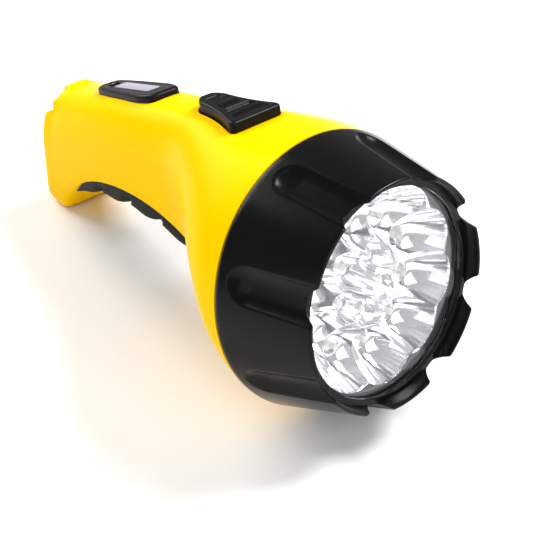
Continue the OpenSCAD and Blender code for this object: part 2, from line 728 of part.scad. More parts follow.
// A wire along points in the head's frame that all share one y.
module wire(points) {
    lead_r = 0.8;
    sides = 10;
    last = len(points) - 1;
    ring = [for (i = [0 : last]) let(
        d = points[min(i + 1, last)] - points[max(i - 1, 0)],
        up = [d[2], 0, -d[0]] / norm(d))
        for (k = [0 : sides - 1]) let(a = 360 * k / sides)
            points[i] + lead_r * (cos(a) * [0, 1, 0] + sin(a) * up)];
    polyhedron(points = ring, faces = concat(
        [[for (k = [sides - 1 : -1 : 0]) k]],
        [[for (k = [0 : sides - 1]) last * sides + k]],
        [for (i = [0 : last - 1]) for (k = [0 : sides - 1]) let(j = (k + 1) % sides)
            [i * sides + k, i * sides + j, (i + 1) * sides + k]],
        [for (i = [0 : last - 1]) for (k = [0 : sides - 1]) let(j = (k + 1) % sides)
            [i * sides + j, (i + 1) * sides + j, (i + 1) * sides + k]]));
}

module battery_leads() {
    color([0.8, 0.1, 0.1]) in_head() for (side = [-1, 1])
        wire([[battery_rear - 2.1, side * tab_y, tab_z], [battery_rear - 8, side * tab_y, tab_z + 2],
            [pcb_front + 1.2, side * tab_y, pcb_z + board_t / 2]]);
}

module lamp_leads() {
    leave = reflector_back - fit - board_t - 1;
    color([0.1, 0.1, 0.1]) in_head() for (side = [-1, 1])
        wire([[leave, side * 3, 18], [battery_front + 2, side * 3, battery_z + battery_h + 2],
            [battery_front - 4, side * 3, battery_z + battery_h + 2],
            [button_mid + can[0] / 2 + 3.2, side * 3, can_top - can[2] - 1.2]]);
}

body_right();
body_left();
head_ring();
lens();
lens_gasket();
reflector();
led_board();
leds();
board_screws();
switch_button();
switch_lever();
slide_switch();
label_plate();
label_card();
charge_led();
grip_insert();
battery();
battery_terminals();
battery_pad();
charger_board();
dropper_capacitor();
rectifier_diodes();
board_resistors();
plug_carriage();
plug_thumb_slide();
plug_pins();
charge_contacts();
body_screws();
battery_leads();
lamp_leads();
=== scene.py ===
"""Rechargeable hand lamp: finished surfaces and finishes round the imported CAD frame.

Shape functions work in millimetres. The head's frame has its origin at the middle of the seam between the
body and the head ring, with x along the beam, y to the left and z up across it. The floor's frame counts x
from the same point and z from the floor.
"""

import json
import math

import bmesh
import bpy
import numpy as np
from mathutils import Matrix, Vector


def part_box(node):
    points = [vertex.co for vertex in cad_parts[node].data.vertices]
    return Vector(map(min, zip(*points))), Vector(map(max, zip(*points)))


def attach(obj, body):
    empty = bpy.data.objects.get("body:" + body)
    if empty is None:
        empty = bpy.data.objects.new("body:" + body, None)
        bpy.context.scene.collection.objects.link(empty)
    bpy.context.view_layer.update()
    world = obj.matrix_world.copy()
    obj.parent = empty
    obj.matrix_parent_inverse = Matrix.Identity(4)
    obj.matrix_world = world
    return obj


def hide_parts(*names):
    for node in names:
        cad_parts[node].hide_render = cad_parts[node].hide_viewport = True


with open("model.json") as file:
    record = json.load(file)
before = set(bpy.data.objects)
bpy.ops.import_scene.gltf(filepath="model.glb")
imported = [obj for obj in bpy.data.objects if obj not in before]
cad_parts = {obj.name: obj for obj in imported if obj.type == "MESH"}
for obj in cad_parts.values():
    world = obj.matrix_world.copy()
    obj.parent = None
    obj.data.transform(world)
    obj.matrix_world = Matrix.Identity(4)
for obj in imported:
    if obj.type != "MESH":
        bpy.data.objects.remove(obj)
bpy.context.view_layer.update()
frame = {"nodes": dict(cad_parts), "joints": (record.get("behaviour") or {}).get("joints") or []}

bl_info = {
    "name": "Hand lamp",
    "version": (1, 0, 0),
    "blender": (4, 5, 0),
    "location": "View3D > Sidebar > Lamp",
    "description": "Builds the finished surfaces of a rechargeable hand lamp round its CAD frame",
    "category": "Object",
}

MM = 0.001
POINT_R = 1e-6
JOINTS = {joint["name"]: joint for joint in frame["joints"]}
SEAM = np.array(JOINTS["ring_twist"]["pos_m"]) / MM
BEAM = np.array(JOINTS["ring_twist"]["axis"], float)
BEAM = BEAM / np.linalg.norm(BEAM)
UP = np.array([-BEAM[2], 0.0, BEAM[0]])
LEFT = np.array([0.0, 1.0, 0.0])
TURN = 2 * np.pi

# Sizes of the CAD frame, in millimetres
HEAD_R = 45.0
RIM_R = 36.0
RING_LEN = 30.6
TAIL_LEN = 157.0
TAIL_H = 55.0
ARCH_H = 36.0
HALF_W = 17.0
SHELL_T = 2.2
SEAM_GAP = 0.3
NECK_R = 40.0
NECK_LEN = 8.0
LENS_R = 33.2
LIP_R = LENS_R - 0.8
LIP_STEP = 1.8
LIP_FRONT = 26.6
RING_WALL = 1.1
LENS_FRONT = 25.2
LENS_T = 2.0
REFLECTOR_FRONT = 22.0
REFLECTOR_BACK = 9.0
BUTTON_FRONT = 23.0
BUTTON_LEN = 27.0
BUTTON_H = 3.4
BUTTON_RISE = 2.8
BUTTON_TAIL_HALF = 5.25
BUTTON_HALF = 11.0
PLATE_FRONT = -73.0
PLATE_REAR = -115.0
PLATE_T = 3.0
INDICATOR_X = PLATE_REAR + 6
INDICATOR_R = 1.6
FIT = 0.2
RUN_GAP = 0.3
NECK_GAP = 0.08
POCKET_GAP = RUN_GAP + 0.3
SWITCH_TRAVEL = JOINTS["switch_slide"]["range_m"][1] / MM
PLUG_TRAVEL = JOINTS["plug_slide"]["range_m"][1] / MM
FLUTE_DEPTH = 2.9
FLUTE_TAIL_DEPTH = 2.4
FLUTE_START = 4.0
NECK_BORE_R = 37.4
CUP_RINGS = ((21.0, 11.3), (9.2, 7.6))
LED_R = 2.5
BOSS_R = 4.4
SCREW_HEAD_R = 2.7
SCREW_SHANK_R = 1.45
SCREW_HEAD_Y = 12.0
PIN_HOLE_R = 2.3
LEVER_HALF = (1.8, 2.3)
GRIP_FRONT = -49.0
GRIP_REAR = -129.0
GRIP_T = 7.2


def low_high(node):
    """Lowest and highest corner of a CAD node, in millimetres."""
    low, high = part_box(node)
    return np.array(low) / MM, np.array(high) / MM


# ---- Frames

def from_head(points):
    """Head-frame points to scene millimetres: the seam's middle plus x, y and z along its own axes."""
    points = np.asarray(points, float)
    return SEAM + points[..., :1] * BEAM + points[..., 1:2] * LEFT + points[..., 2:] * UP


def from_floor(points):
    """Floor-frame points to scene millimetres: x moves forwards by the seam's place."""
    return np.asarray(points, float) + np.array([SEAM[0], 0.0, 0.0])


def to_floor(x, z):
    """Floor-frame x and z of a head-frame point in the middle plane."""
    return x * BEAM[0] - z * BEAM[2], SEAM[2] + x * BEAM[2] + z * BEAM[0]


def to_head(x, z):
    """Head-frame x and z of a floor-frame point in the middle plane."""
    rise = z - SEAM[2]
    return x * BEAM[0] + rise * BEAM[2], rise * BEAM[0] - x * BEAM[2]


# ---- Meshes from grids

def outward(points, quads, caps):
    """Turns the faces round if the volume that they enclose is negative."""
    def volume(a, b, c):
        return np.einsum("ij,ij->", points[a], np.cross(points[b], points[c]))
    total = volume(quads[:, 0], quads[:, 1], quads[:, 2]) + volume(quads[:, 0], quads[:, 2], quads[:, 3])
    for cap in caps:
        total += volume(np.full(len(cap) - 2, cap[0]), cap[1:-1], cap[2:])
    if total < 0:
        quads = quads[:, ::-1]
        caps = [cap[::-1] for cap in caps]
    return quads, caps


def grid(rows, around=True, along=False, poles=(False, False)):
    """Points and faces of a grid of rows. around joins each row's ends, along joins the last row to the
    first, and poles says which end rows are one point. Other end rows get a flat cap."""
    m, n = rows.shape[:2]
    i = np.arange(m if along else m - 1)[:, None]
    k = np.arange(n if around else n - 1)[None, :]
    i2, k2 = (i + 1) % m, (k + 1) % n
    quads = np.stack([i * n + k, i * n + k2, i2 * n + k2, i2 * n + k], -1).reshape(-1, 4)
    caps = []
    if not along and around:
        if not poles[0]:
            caps.append(np.arange(n)[::-1])
        if not poles[1]:
            caps.append((m - 1) * n + np.arange(n))
    points = rows.reshape(-1, 3)
    quads, caps = outward(points, quads, caps)
    return points, quads, caps


def join(parts):
    """One set of points and faces from several."""
    points, quads, caps, start = [], [], [], 0
    for p, q, c in parts:
        points.append(p)
        quads.append(q + start)
        caps += [cap + start for cap in c]
        start += len(p)
    return np.concatenate(points), np.concatenate(quads), caps


def mesh_object(name, part, sharp=35.0):
    """A new object from points in scene millimetres. Doubled points are merged, and edges that turn by
    more than sharp degrees stay sharp."""
    points, quads, caps = part
    mesh = bpy.data.meshes.new(name)
    faces = quads.tolist() + [cap.tolist() for cap in caps]
    mesh.from_pydata((points * MM).tolist(), [], faces)
    mesh.update()
    obj = bpy.data.objects.new(name, mesh)
    bpy.context.scene.collection.objects.link(obj)
    weld(mesh)
    shade(mesh, sharp)
    return obj


def weld(mesh):
    """Merges points that stand in one place, which closes poles and seams, and drops empty faces."""
    work = bmesh.new()
    work.from_mesh(mesh)
    bmesh.ops.remove_doubles(work, verts=work.verts, dist=2e-7)
    bmesh.ops.dissolve_degenerate(work, edges=work.edges, dist=1e-7)
    work.to_mesh(mesh)
    work.free()
    mesh.update()


def shade(mesh, sharp):
    """Smooth shading with sharp edges above an angle in degrees."""
    mesh.polygons.foreach_set("use_smooth", np.ones(len(mesh.polygons), bool))
    mesh.set_sharp_from_angle(angle=math.radians(sharp))


def cut(obj, cutters, sharp=35.0):
    """Takes each cutter out of obj in turn and removes the cutters."""
    for cutter in cutters:
        modifier = obj.modifiers.new("cut", "BOOLEAN")
        modifier.operation = "DIFFERENCE"
        modifier.solver = "MANIFOLD"
        modifier.object = cutter
        bpy.context.view_layer.update()
        result = bpy.data.meshes.new_from_object(obj.evaluated_get(bpy.context.evaluated_depsgraph_get()))
        if len(result.polygons) == 0:
            raise RuntimeError(f"cutting {obj.name} with {cutter.name} left nothing")
        obj.modifiers.clear()
        old = obj.data
        obj.data = result
        result.name = obj.name
        bpy.data.meshes.remove(old)
        bpy.data.objects.remove(cutter)
    shade(obj.data, sharp)
    return obj


def block(name, low, high, place):
    """A box between two corners of a frame."""
    (x0, y0, z0), (x1, y1, z1) = low, high
    rows = np.array([[[x, y0, z0], [x, y1, z0], [x, y1, z1], [x, y0, z1]] for x in (x0, x1)], float)
    return mesh_object(name, grid(place(rows)))


def prism(name, plan, low, high, place):
    """A closed plan of x and y carried straight up from one height to another."""
    rows = [np.column_stack([plan, np.full(len(plan), z)]) for z in (low, high)]
    return mesh_object(name, grid(place(np.stack(rows))))


def rod(name, start, end, radius, place, sides=48):
    """A cylinder between two points of a frame: a circle square to the line, carried from end to end."""
    start, end = np.array(start, float), np.array(end, float)
    axis = (end - start) / np.linalg.norm(end - start)
    side = np.cross(axis, [0.0, 0.0, 1.0] if abs(axis[2]) < 0.9 else [1.0, 0.0, 0.0])
    side = side / np.linalg.norm(side)
    other = np.cross(axis, side)
    a = round_angles(sides)[:, None]
    circle = (np.cos(a) * side + np.sin(a) * other) * radius
    return mesh_object(name, grid(place(np.stack([start + circle, end + circle]))))


def round_angles(sides):
    """Angles of evenly spread points once round a circle."""
    return np.linspace(0, TURN, sides, endpoint=False)


def around_beam(x, r, sides, centre=(0.0, 0.0)):
    """Rows of points at x and radius r, either one value or one for each angle, carried round a line along
    the beam. centre is the line's y and z."""
    a = round_angles(sides)
    x, r = np.broadcast_arrays(x, r)
    x, r = np.broadcast_to(x, (len(x), sides)), np.broadcast_to(r, (len(r), sides))
    return from_head(np.stack([x, centre[0] - r * np.sin(a), centre[1] + r * np.cos(a)], -1))


def lathe(x, r, sides, centre=(0.0, 0.0)):
    """A profile of x and r carried round a line along the beam."""
    x, r = np.asarray(x, float)[:, None], np.maximum(np.asarray(r, float), POINT_R)[:, None]
    return around_beam(x, r, sides, centre)


def smooth_step(low, high, value):
    """0 below low, 1 above high, and a cubic between them."""
    u = np.clip((value - low) / (high - low), 0.0, 1.0)
    return u * u * (3 - 2 * u)


def soft_min(a, b, width):
    """The lower of two values, rounded over a width where they cross."""
    h = np.clip(0.5 + 0.5 * (b - a) / width, 0.0, 1.0)
    return b * (1 - h) + a * h - width * h * (1 - h)


# ---- The body's surface

def round_section(x, r):
    """A circle across the beam as a section."""
    return [*to_floor(x, -r), *to_floor(x, r), r, 2, 2, 0.5]


FRONT_R = HEAD_R - 0.4
SECTIONS = np.array([
    round_section(-SEAM_GAP, FRONT_R),
    [2, 2.6, -21, SEAM[2] + 41.3, FRONT_R - 1.6, 2.2, 2, 0.5],
    [-9, 8.4, -31, SEAM[2] + 39.6, FRONT_R - 6.6, 2.3, 2.05, 0.5],
    [-22, 17, -42, SEAM[2] + 37.8, HALF_W + 13.6, 2.35, 2.15, 0.5],
    [-37, ARCH_H - 8.6, -55, SEAM[2] + 35.4, HALF_W + 5.2, 2.5, 2.8, 0.49],
    [-51, ARCH_H - 3.2, -65, (SEAM[2] + 33.1 + TAIL_H + 21.8) / 2, HALF_W + 1.1, 2.7, 8, 0.46],
    [-67, ARCH_H + 0.2, -78, TAIL_H + 18.4, HALF_W, 2.8, 14, 0.43],
    [-86, ARCH_H - 0.2, -95, TAIL_H + 14.1, HALF_W, 2.8, 14, 0.42],
    [-105, ARCH_H - 4.4, -112, TAIL_H + 9, HALF_W, 2.8, 14, 0.42],
    [-120, ARCH_H - 11, -125, TAIL_H + 4.6, HALF_W, 2.8, 14, 0.42],
    [-131, ARCH_H - 19.6, -134, TAIL_H + 1.7, HALF_W, 2.7, 12, 0.46],
    [-138.5, 9, -140, TAIL_H - 0.1, HALF_W, 2.6, 9, 0.5],
    [-145, 0, -144, TAIL_H - 0.8, HALF_W, 2.6, 9, 0.5],
    [1.2 - TAIL_LEN, 0, 9 - TAIL_LEN, TAIL_H - 0.9, HALF_W, 2.6, 9, 0.5],
    [-TAIL_LEN, 1.2, 8.4 - TAIL_LEN, TAIL_H - 2.3, HALF_W - 1, 2.6, 7, 0.5],
])
OUTER_STEP = (14.0, 11.0, 10.4)
INNER_STEP = (13.0, 5.2, 6.0)
CAVITY_ROOF = TAIL_H - OUTER_STEP[2] - 1.6


def spline_rows(sections, t):
    """Sections at the shares t, on a cubic curve that passes through every given section."""
    last = len(sections) - 1
    i = np.minimum(np.floor(t).astype(int), last - 1)
    u = (t - i)[:, None]
    p0, p1 = sections[np.maximum(i - 1, 0)], sections[i]
    p2, p3 = sections[i + 1], sections[np.minimum(i + 2, last)]
    return 0.5 * (2 * p1 + (p2 - p0) * u + (2 * p0 - 5 * p1 + 4 * p2 - p3) * u ** 2
                  + (3 * p1 - p0 - 3 * p2 + p3) * u ** 3)


def outline(sections, a):
    """Points of sections at angles from a quarter turn (top) to minus a quarter (bottom), on the right. Each
    half is a superellipse between the section's bottom point and its top point."""
    s = [sections[:, j:j + 1] for j in range(8)]
    a = a[None, :]
    up = np.sin(a) >= 0
    power = 2 / np.where(up, s[5], s[6])
    rise = np.abs(np.sin(a)) ** power
    share = np.where(up, s[7] + (1 - s[7]) * rise, s[7] - s[7] * rise)
    y = -s[4] * np.maximum(np.cos(a), 0) ** power
    x = s[0] + (s[2] - s[0]) * share
    return np.stack([x, y, np.maximum(s[1] + (s[3] - s[1]) * share, 0)], -1)


def inset(s, d):
    """A section moved inwards by d on every side."""
    dx, dz = s[2] - s[0], s[3] - s[1]
    high = math.hypot(dx, dz)
    return [s[0] + dx / high * d, s[1] + dz / high * d, s[2] - dx / high * d, s[3] - dz / high * d,
            s[4] - d, s[5], s[6], (s[7] * high - d) / (high - 2 * d)]


def top_at(x):
    """Height of the body's top in the head's frame at x."""
    tops = np.array([to_head(s[2], s[3]) for s in SECTIONS])[::-1]
    return float(np.interp(x, tops[:, 0], tops[:, 1]))


def arch_curve():
    """x and z of the body's underside along the middle, over the floor, from the rear forwards."""
    rows = spline_rows(SECTIONS, np.linspace(2, 13, 400))
    order = np.argsort(rows[:, 0])
    return rows[order, 0], rows[order, 1]


DECK_Z = min(top_at(-BUTTON_FRONT), top_at(-BUTTON_FRONT - BUTTON_LEN)) - 1.2
PLATE_Z = (top_at(PLATE_FRONT) + top_at(PLATE_REAR)) / 2 - 0.5
PLATE_LEAN = math.atan((top_at(PLATE_FRONT) - top_at(PLATE_REAR)) / (PLATE_FRONT - PLATE_REAR))
BOSSES = ((-13, SEAM[2] + 32), (-14, 22), (-64, (SEAM[2] + 33 + TAIL_H + 20.6) / 2 - 8),
          (-136, TAIL_H - 7.5), (-147, 7.6))


def half_body(name, side, sections, per_span, around, groove=0.0, past=0.0):
    """Half of a lofted solid. Angles are closer together beside the middle plane, where the parting line's
    fine groove runs. side is -1 for the right half and 1 for the left."""
    a = np.concatenate([[np.pi / 2, np.pi / 2 - 0.0018], np.linspace(np.pi / 2, -np.pi / 2, around + 1)[1:-1],
                        [-np.pi / 2 + 0.0018, -np.pi / 2]])
    t = np.linspace(0, len(sections) - 1, (len(sections) - 1) * per_span + 1)
    rows = spline_rows(np.array(sections), t)
    points = outline(rows, a)
    middle = (points[:, :1] + points[:, -1:]) / 2
    for k in (0, -1):
        inward = middle[:, 0] - points[:, k]
        points[:, k] += groove * inward / np.maximum(np.linalg.norm(inward, axis=1, keepdims=True), 1e-9)
    if past:
        first, last = points[:, :1] + [0, past, 0], points[:, -1:] + [0, past, 0]
        points = np.concatenate([first, points, last], 1)
    points = points * np.array([1.0, -side, 1.0])
    return mesh_object(name, grid(from_floor(points)))


def body_shell(side, sizes):
    """One yellow shell: the lofted half, less the hollow round its screw posts, less the openings."""
    word = "left" if side > 0 else "right"
    shell = half_body("shell_" + word, side, SECTIONS, 14, 72, sizes.parting_groove / MM)
    start = round_section(-SEAM_GAP - 2.4, FRONT_R - SHELL_T - 0.6)
    hollow = [start] + [inset(s, SHELL_T) for s in SECTIONS[1:12]] + [
        [OUTER_STEP[0] - 2 - TAIL_LEN, 2.4, OUTER_STEP[0] - TAIL_LEN, CAVITY_ROOF, HALF_W - SHELL_T,
         6, 7, 0.5],
        [3.4 - TAIL_LEN, 2.4, 9.6 - TAIL_LEN, CAVITY_ROOF, HALF_W - SHELL_T, 7, 7, 0.5]]
    cavity = half_body("hollow", side, hollow, 4, 32, past=1.0)
    cut(cavity, [rod("post", (x, -1.5 * side, z), (x, side * 46, z), BOSS_R, from_floor) for x, z in BOSSES])
    cutters = [cavity, rod("bore", (-8, 0, 0), (9, 0, 0), NECK_BORE_R, from_head, 160)]
    cutters.append(prism("deck", pocket_plan(), DECK_Z, DECK_Z + 20, from_head))
    middle = -BUTTON_FRONT - BUTTON_LEN / 2
    cutters.append(block("lever_slot", (middle - LEVER_HALF[0], -LEVER_HALF[1], DECK_Z - 4.5),
                         (middle + LEVER_HALF[0] + SWITCH_TRAVEL, LEVER_HALF[1], DECK_Z + 1), from_head))
    cutters.append(prism("plate_seat", plate_plan(FIT), 0, 20, from_plate))
    for length, keep, depth in (OUTER_STEP, INNER_STEP):
        cutters.append(block("tail_step", (-TAIL_LEN - 2, side * keep, TAIL_H - depth),
                             (-TAIL_LEN - 2 + length, side * 40, TAIL_H + 10), from_floor))
    pin_low, pin_high = low_high("plug_pins")
    pin_z, pin_y = (pin_low[2] + pin_high[2]) / 2, pin_high[1] - 2
    cutters.append(rod("pin_hole", (-TAIL_LEN - 1, side * pin_y, pin_z),
                       (-TAIL_LEN + 12, side * pin_y, pin_z), PIN_HOLE_R, from_floor))
    if side > 0:
        for x, z in BOSSES:
            cutters.append(rod("screw_seat", (x, SCREW_HEAD_Y - 2.2, z), (x, 60, z), SCREW_HEAD_R + FIT,
                               from_floor))
        low, high = low_high("plug_thumb_slide")
        cutters.append(block("thumb_slot", (low[0] - PLUG_TRAVEL - RUN_GAP, 0, low[2] - RUN_GAP),
                             (high[0] + RUN_GAP, 22, high[2] + RUN_GAP), np.asarray))
    return cut(shell, cutters)


def pocket_plan():
    """Plan of the button's pocket: the button's own plan with a gap all round, and lengthened forwards by the
    switch's travel."""
    u = np.sin(np.linspace(0, np.pi / 2, 40))
    x = np.concatenate([[SWITCH_TRAVEL + POCKET_GAP], -(BUTTON_LEN + POCKET_GAP) * u]) - BUTTON_FRONT
    half = np.concatenate([[button_width(0.0)], button_width(u)]) + POCKET_GAP
    return np.stack([np.concatenate([x, x[::-1]]), np.concatenate([half, -half[::-1]])], -1)


# ---- Head ring

def ring_outer(x, a, sizes):
    """Radius of the ring's outside at x and angle a: a cone, less round-bottomed flutes. Each flute is a
    leaning cylinder with a ball at its rear end, and meets the cone over a soft edge."""
    flute_r = sizes.flute_radius / MM
    cone = HEAD_R - (HEAD_R - RIM_R) * x / RING_LEN
    rise = HEAD_R - (HEAD_R - RIM_R) * FLUTE_START / RING_LEN - FLUTE_TAIL_DEPTH
    slope = (RIM_R - FLUTE_DEPTH - rise) / (RING_LEN - FLUTE_START)
    centre = rise + flute_r + slope * (x - FLUTE_START)
    end_at = FLUTE_START + math.sqrt(flute_r ** 2 - (flute_r - FLUTE_TAIL_DEPTH) ** 2)
    step = TURN / sizes.flutes
    off = (a % step) - step / 2
    radius2 = flute_r ** 2 - np.minimum(x - end_at, 0) ** 2
    inside = np.maximum(radius2 - (centre * np.sin(off)) ** 2, 0)
    bottom = np.where((radius2 > 0) & (np.abs(off) < 0.3), centre * np.cos(off) - np.sqrt(inside), 99.0)
    gap = np.abs(centre * np.sin(off)) - np.sqrt(np.maximum(radius2, 0))
    bottom = np.where(gap > 0, centre * np.cos(off) + gap * 2, bottom)
    return soft_min(cone, bottom, 0.45)


def ring_inner(x):
    """Radius of the ring's plain sloping band in front of the lens lip at x."""
    front_r = RIM_R - RING_WALL
    return front_r - (RING_LEN - x) * (front_r - LIP_R - LIP_STEP) / (RING_LEN - LIP_FRONT)


def head_ring(sizes):
    """The ring as one closed loop carried round the beam: outside with its flutes, rim, band that slopes in
    to the lens lip, lens seat, and the sleeve that runs on the neck. The rim stands where outside and band
    are a thin edge apart, so each flute breaks through it in a shallow round notch."""
    sides, samples, edge, flute_rows, bevel = 960, 60, 0.35, 12.6, 0.42
    a = round_angles(sides)[None, :]
    near = np.linspace(LIP_FRONT, RING_LEN, samples)[:, None]
    wall = ring_outer(near, a, sizes) - ring_inner(near)
    spacing = (RING_LEN - LIP_FRONT) / (samples - 1)
    rim = LIP_FRONT + np.sum(wall[1:] > edge, 0, keepdims=True) * spacing
    rim = (np.roll(rim, 1, 1) + 2 * rim + np.roll(rim, -1, 1)) / 4
    outer, inner = ring_outer(rim, a, sizes), ring_inner(rim)
    rad = bevel * np.minimum(outer - inner, 0.9)
    rear = np.concatenate([[0.35, 0.8, 1.6, 2.6], np.linspace(3.4, flute_rows, 40)])[:, None]
    share = np.linspace(0.04, 1, 24)[:, None]
    x_out = np.concatenate([np.broadcast_to(rear, (len(rear), sides)),
                            flute_rows + (rim - rad - flute_rows) * share])
    out = ring_outer(x_out, a, sizes)
    out[0] -= 0.35
    out[1] -= 0.06
    rows = [(x_out, out)]
    for turn in np.radians([30, 60, 90]):
        rows.append((rim - rad + rad * np.sin(turn), outer - rad + rad * np.cos(turn)))
    for turn in np.radians([0, 45, 90]):
        rows.append((rim - rad + rad * np.cos(turn), inner + rad - rad * np.sin(turn)))
    for share in (0.25, 0.5, 0.75, 1.0):
        x = (rim - rad) * (1 - share) + (LIP_FRONT + 0.03) * share
        rows.append((x, ring_inner(x)))
    seat, sleeve = LENS_R + FIT, NECK_R + NECK_GAP
    for x, r in ((LIP_FRONT, LIP_R + 1.5), (LIP_FRONT, LIP_R + 0.2), (LIP_FRONT - 0.2, LIP_R),
                 (LENS_FRONT + 0.1, LIP_R), (LENS_FRONT, seat), (REFLECTOR_FRONT - 0.4, seat),
                 (20.4, LENS_R + 1), (12.5, LENS_R + 3), (10.2, 38.3), (NECK_LEN + 0.1, 38.4),
                 (NECK_LEN, sleeve), (0.5, sleeve), (0.0, NECK_R + 0.5), (0.0, HEAD_R - 0.8)):
        rows.append((np.full_like(rim, x), np.full_like(rim, r)))
    x, r = (np.concatenate(part) for part in zip(*rows))
    return mesh_object("fluted_ring", grid(around_beam(x, r, sides), along=True), 38)


def neck_thread(sizes):
    """The neck as a closed loop carried round the beam. Its outside is a helix: the radius follows a round
    wave of x less the turn times the pitch, and fades out at both ends."""
    sides, pitch, thread_end, rear = 240, sizes.thread_pitch / MM, NECK_LEN - 0.4, -1.2
    x = np.linspace(rear, thread_end, 60)[:, None]
    wave = 0.5 + 0.5 * np.cos(TURN * x / pitch - round_angles(sides)[None, :])
    fade = smooth_step(0.0, 1.2, x) * (1 - smooth_step(thread_end - 1.2, thread_end, x))
    r = NECK_R - 0.75 + 0.7 * smooth_step(0.15, 0.85, wave) * fade
    rows = [(np.broadcast_to(x, r.shape), r)]
    for x_in, r_in in ((NECK_LEN, NECK_R - 1.2), (NECK_LEN, NECK_BORE_R + 0.5),
                       (NECK_LEN - 0.5, NECK_BORE_R), (rear, NECK_BORE_R)):
        rows.append((np.full((1, sides), x_in), np.full((1, sides), r_in)))
    x, r = (np.concatenate(part) for part in zip(*rows))
    return mesh_object("neck_thread", grid(around_beam(x, r, sides), along=True))


# ---- Optics

def lens_disc():
    """A clear disc with rounded edges, a profile carried round the beam."""
    back, front = LENS_FRONT - LENS_T, LENS_FRONT - 0.05
    x = [back, back, back + 0.25, front - 0.25, front, front]
    r = [0, LENS_R - 0.25, LENS_R, LENS_R, LENS_R - 0.25, 0]
    return mesh_object("clear_lens", grid(lathe(x, r, 180), poles=(True, True)))


def gasket_ring():
    """The soft ring behind the lens: a rounded square profile carried round the beam."""
    x0, x1, r0, r1 = REFLECTOR_FRONT + 0.02, LENS_FRONT - LENS_T - 0.02, LENS_R - 1, LENS_R
    x = [x0, x0, x0 + 0.3, x1 - 0.3, x1, x1, x1 - 0.3, x0 + 0.3]
    r = [r0 + 0.3, r1 - 0.3, r1, r1, r1 - 0.3, r0 + 0.3, r0, r0]
    return mesh_object("lens_gasket_ring", grid(lathe(x, r, 180), along=True))


def cup_centres(sizes):
    """y, z and mouth radius of every cup, as an outer and an inner ring about the beam."""
    found = []
    for count, (at, mouth) in zip((sizes.outer_leds, sizes.inner_leds), CUP_RINGS):
        a = round_angles(count)
        found.append(np.stack([at * np.sin(a), -at * np.cos(a), np.full(count, mouth)], -1))
    return np.concatenate(found)


def reflector_face(y, z, sizes):
    """Depth of the reflector at y, z: the lowest of the bowls round the cups, each a bowl whose wall is steep
    at its floor and flares to its mouth, under the flat front."""
    floor_r, floor_t, depth, flare = 3.1, 1.6, 11.3, 1.7
    x = np.full(np.shape(y), REFLECTOR_FRONT - 0.1)
    for cy, cz, mouth in cup_centres(sizes):
        share = np.clip((np.hypot(y - cy, z - cz) - floor_r) / (mouth - floor_r), 0, 1.4)
        x = np.minimum(x, REFLECTOR_BACK + floor_t + depth * share ** flare)
    return x


def reflector_cups(sizes):
    """The reflector: its scalloped face, its rim and its flat back, as rings about the beam."""
    sides = 600
    a = round_angles(sides)[None, :]
    r = np.concatenate([[POINT_R], np.linspace(0.4, LENS_R - 0.15, 130)])[:, None]
    face = around_beam(reflector_face(-r * np.sin(a), r * np.cos(a), sizes), r, sides)
    back = lathe([REFLECTOR_BACK] * 3, [LENS_R - 0.1, 30.0, POINT_R], sides)
    return mesh_object("reflector_cups", grid(np.concatenate([face, back]), poles=(True, True)), 30)


def in_every_cup(name, x, r, sides, sizes):
    """One object with a copy of a profile, carried round the middle line of every cup."""
    parts = [grid(lathe(x, r, sides, (y, z)), poles=(True, True)) for y, z, _ in cup_centres(sizes)]
    return mesh_object(name, join(parts))


def led_domes(sizes):
    """Clear domes: a flange, a straight wall and a half ball on each cup's floor."""
    a = np.linspace(0, np.pi / 2, 9)
    x = REFLECTOR_BACK - 0.18 + np.concatenate([[0, 0, 1.0, 1.0], 6.1 + LED_R * np.sin(a)])
    r = np.concatenate([[0, LED_R + 0.3, LED_R + 0.3, LED_R], LED_R * np.cos(a)])
    return in_every_cup("led_domes", x, r, 28, sizes)


def led_chips(sizes):
    """The phosphor cup inside each dome: a small cone with a round top."""
    x = REFLECTOR_BACK + 1.0 + np.array([0, 0, 2.4, 2.8, 2.9, 2.9])
    return in_every_cup("led_chips", x, [0, 0.8, 1.1, 1.0, 0.7, 0], 20, sizes)


# ---- Switch

def button_width(u):
    """Half width of the slide button at a share u of its length: wide in front, hollow sides, narrow rear."""
    round_from = 0.78
    tail = np.sqrt(np.maximum(1 - (np.maximum(u - round_from, 0) / (1 - round_from)) ** 2, 0.0))
    return BUTTON_TAIL_HALF * tail + (BUTTON_HALF - BUTTON_TAIL_HALF) * np.clip(1 - u, 0, 1) ** 2.2


def quarter_drop(distance, radius):
    """How far a quarter circle of a radius lies below its top at a distance from its outer end."""
    share = np.clip(distance / radius, 0, 1)
    return radius * (1 - np.sqrt(1 - (1 - share) ** 2))


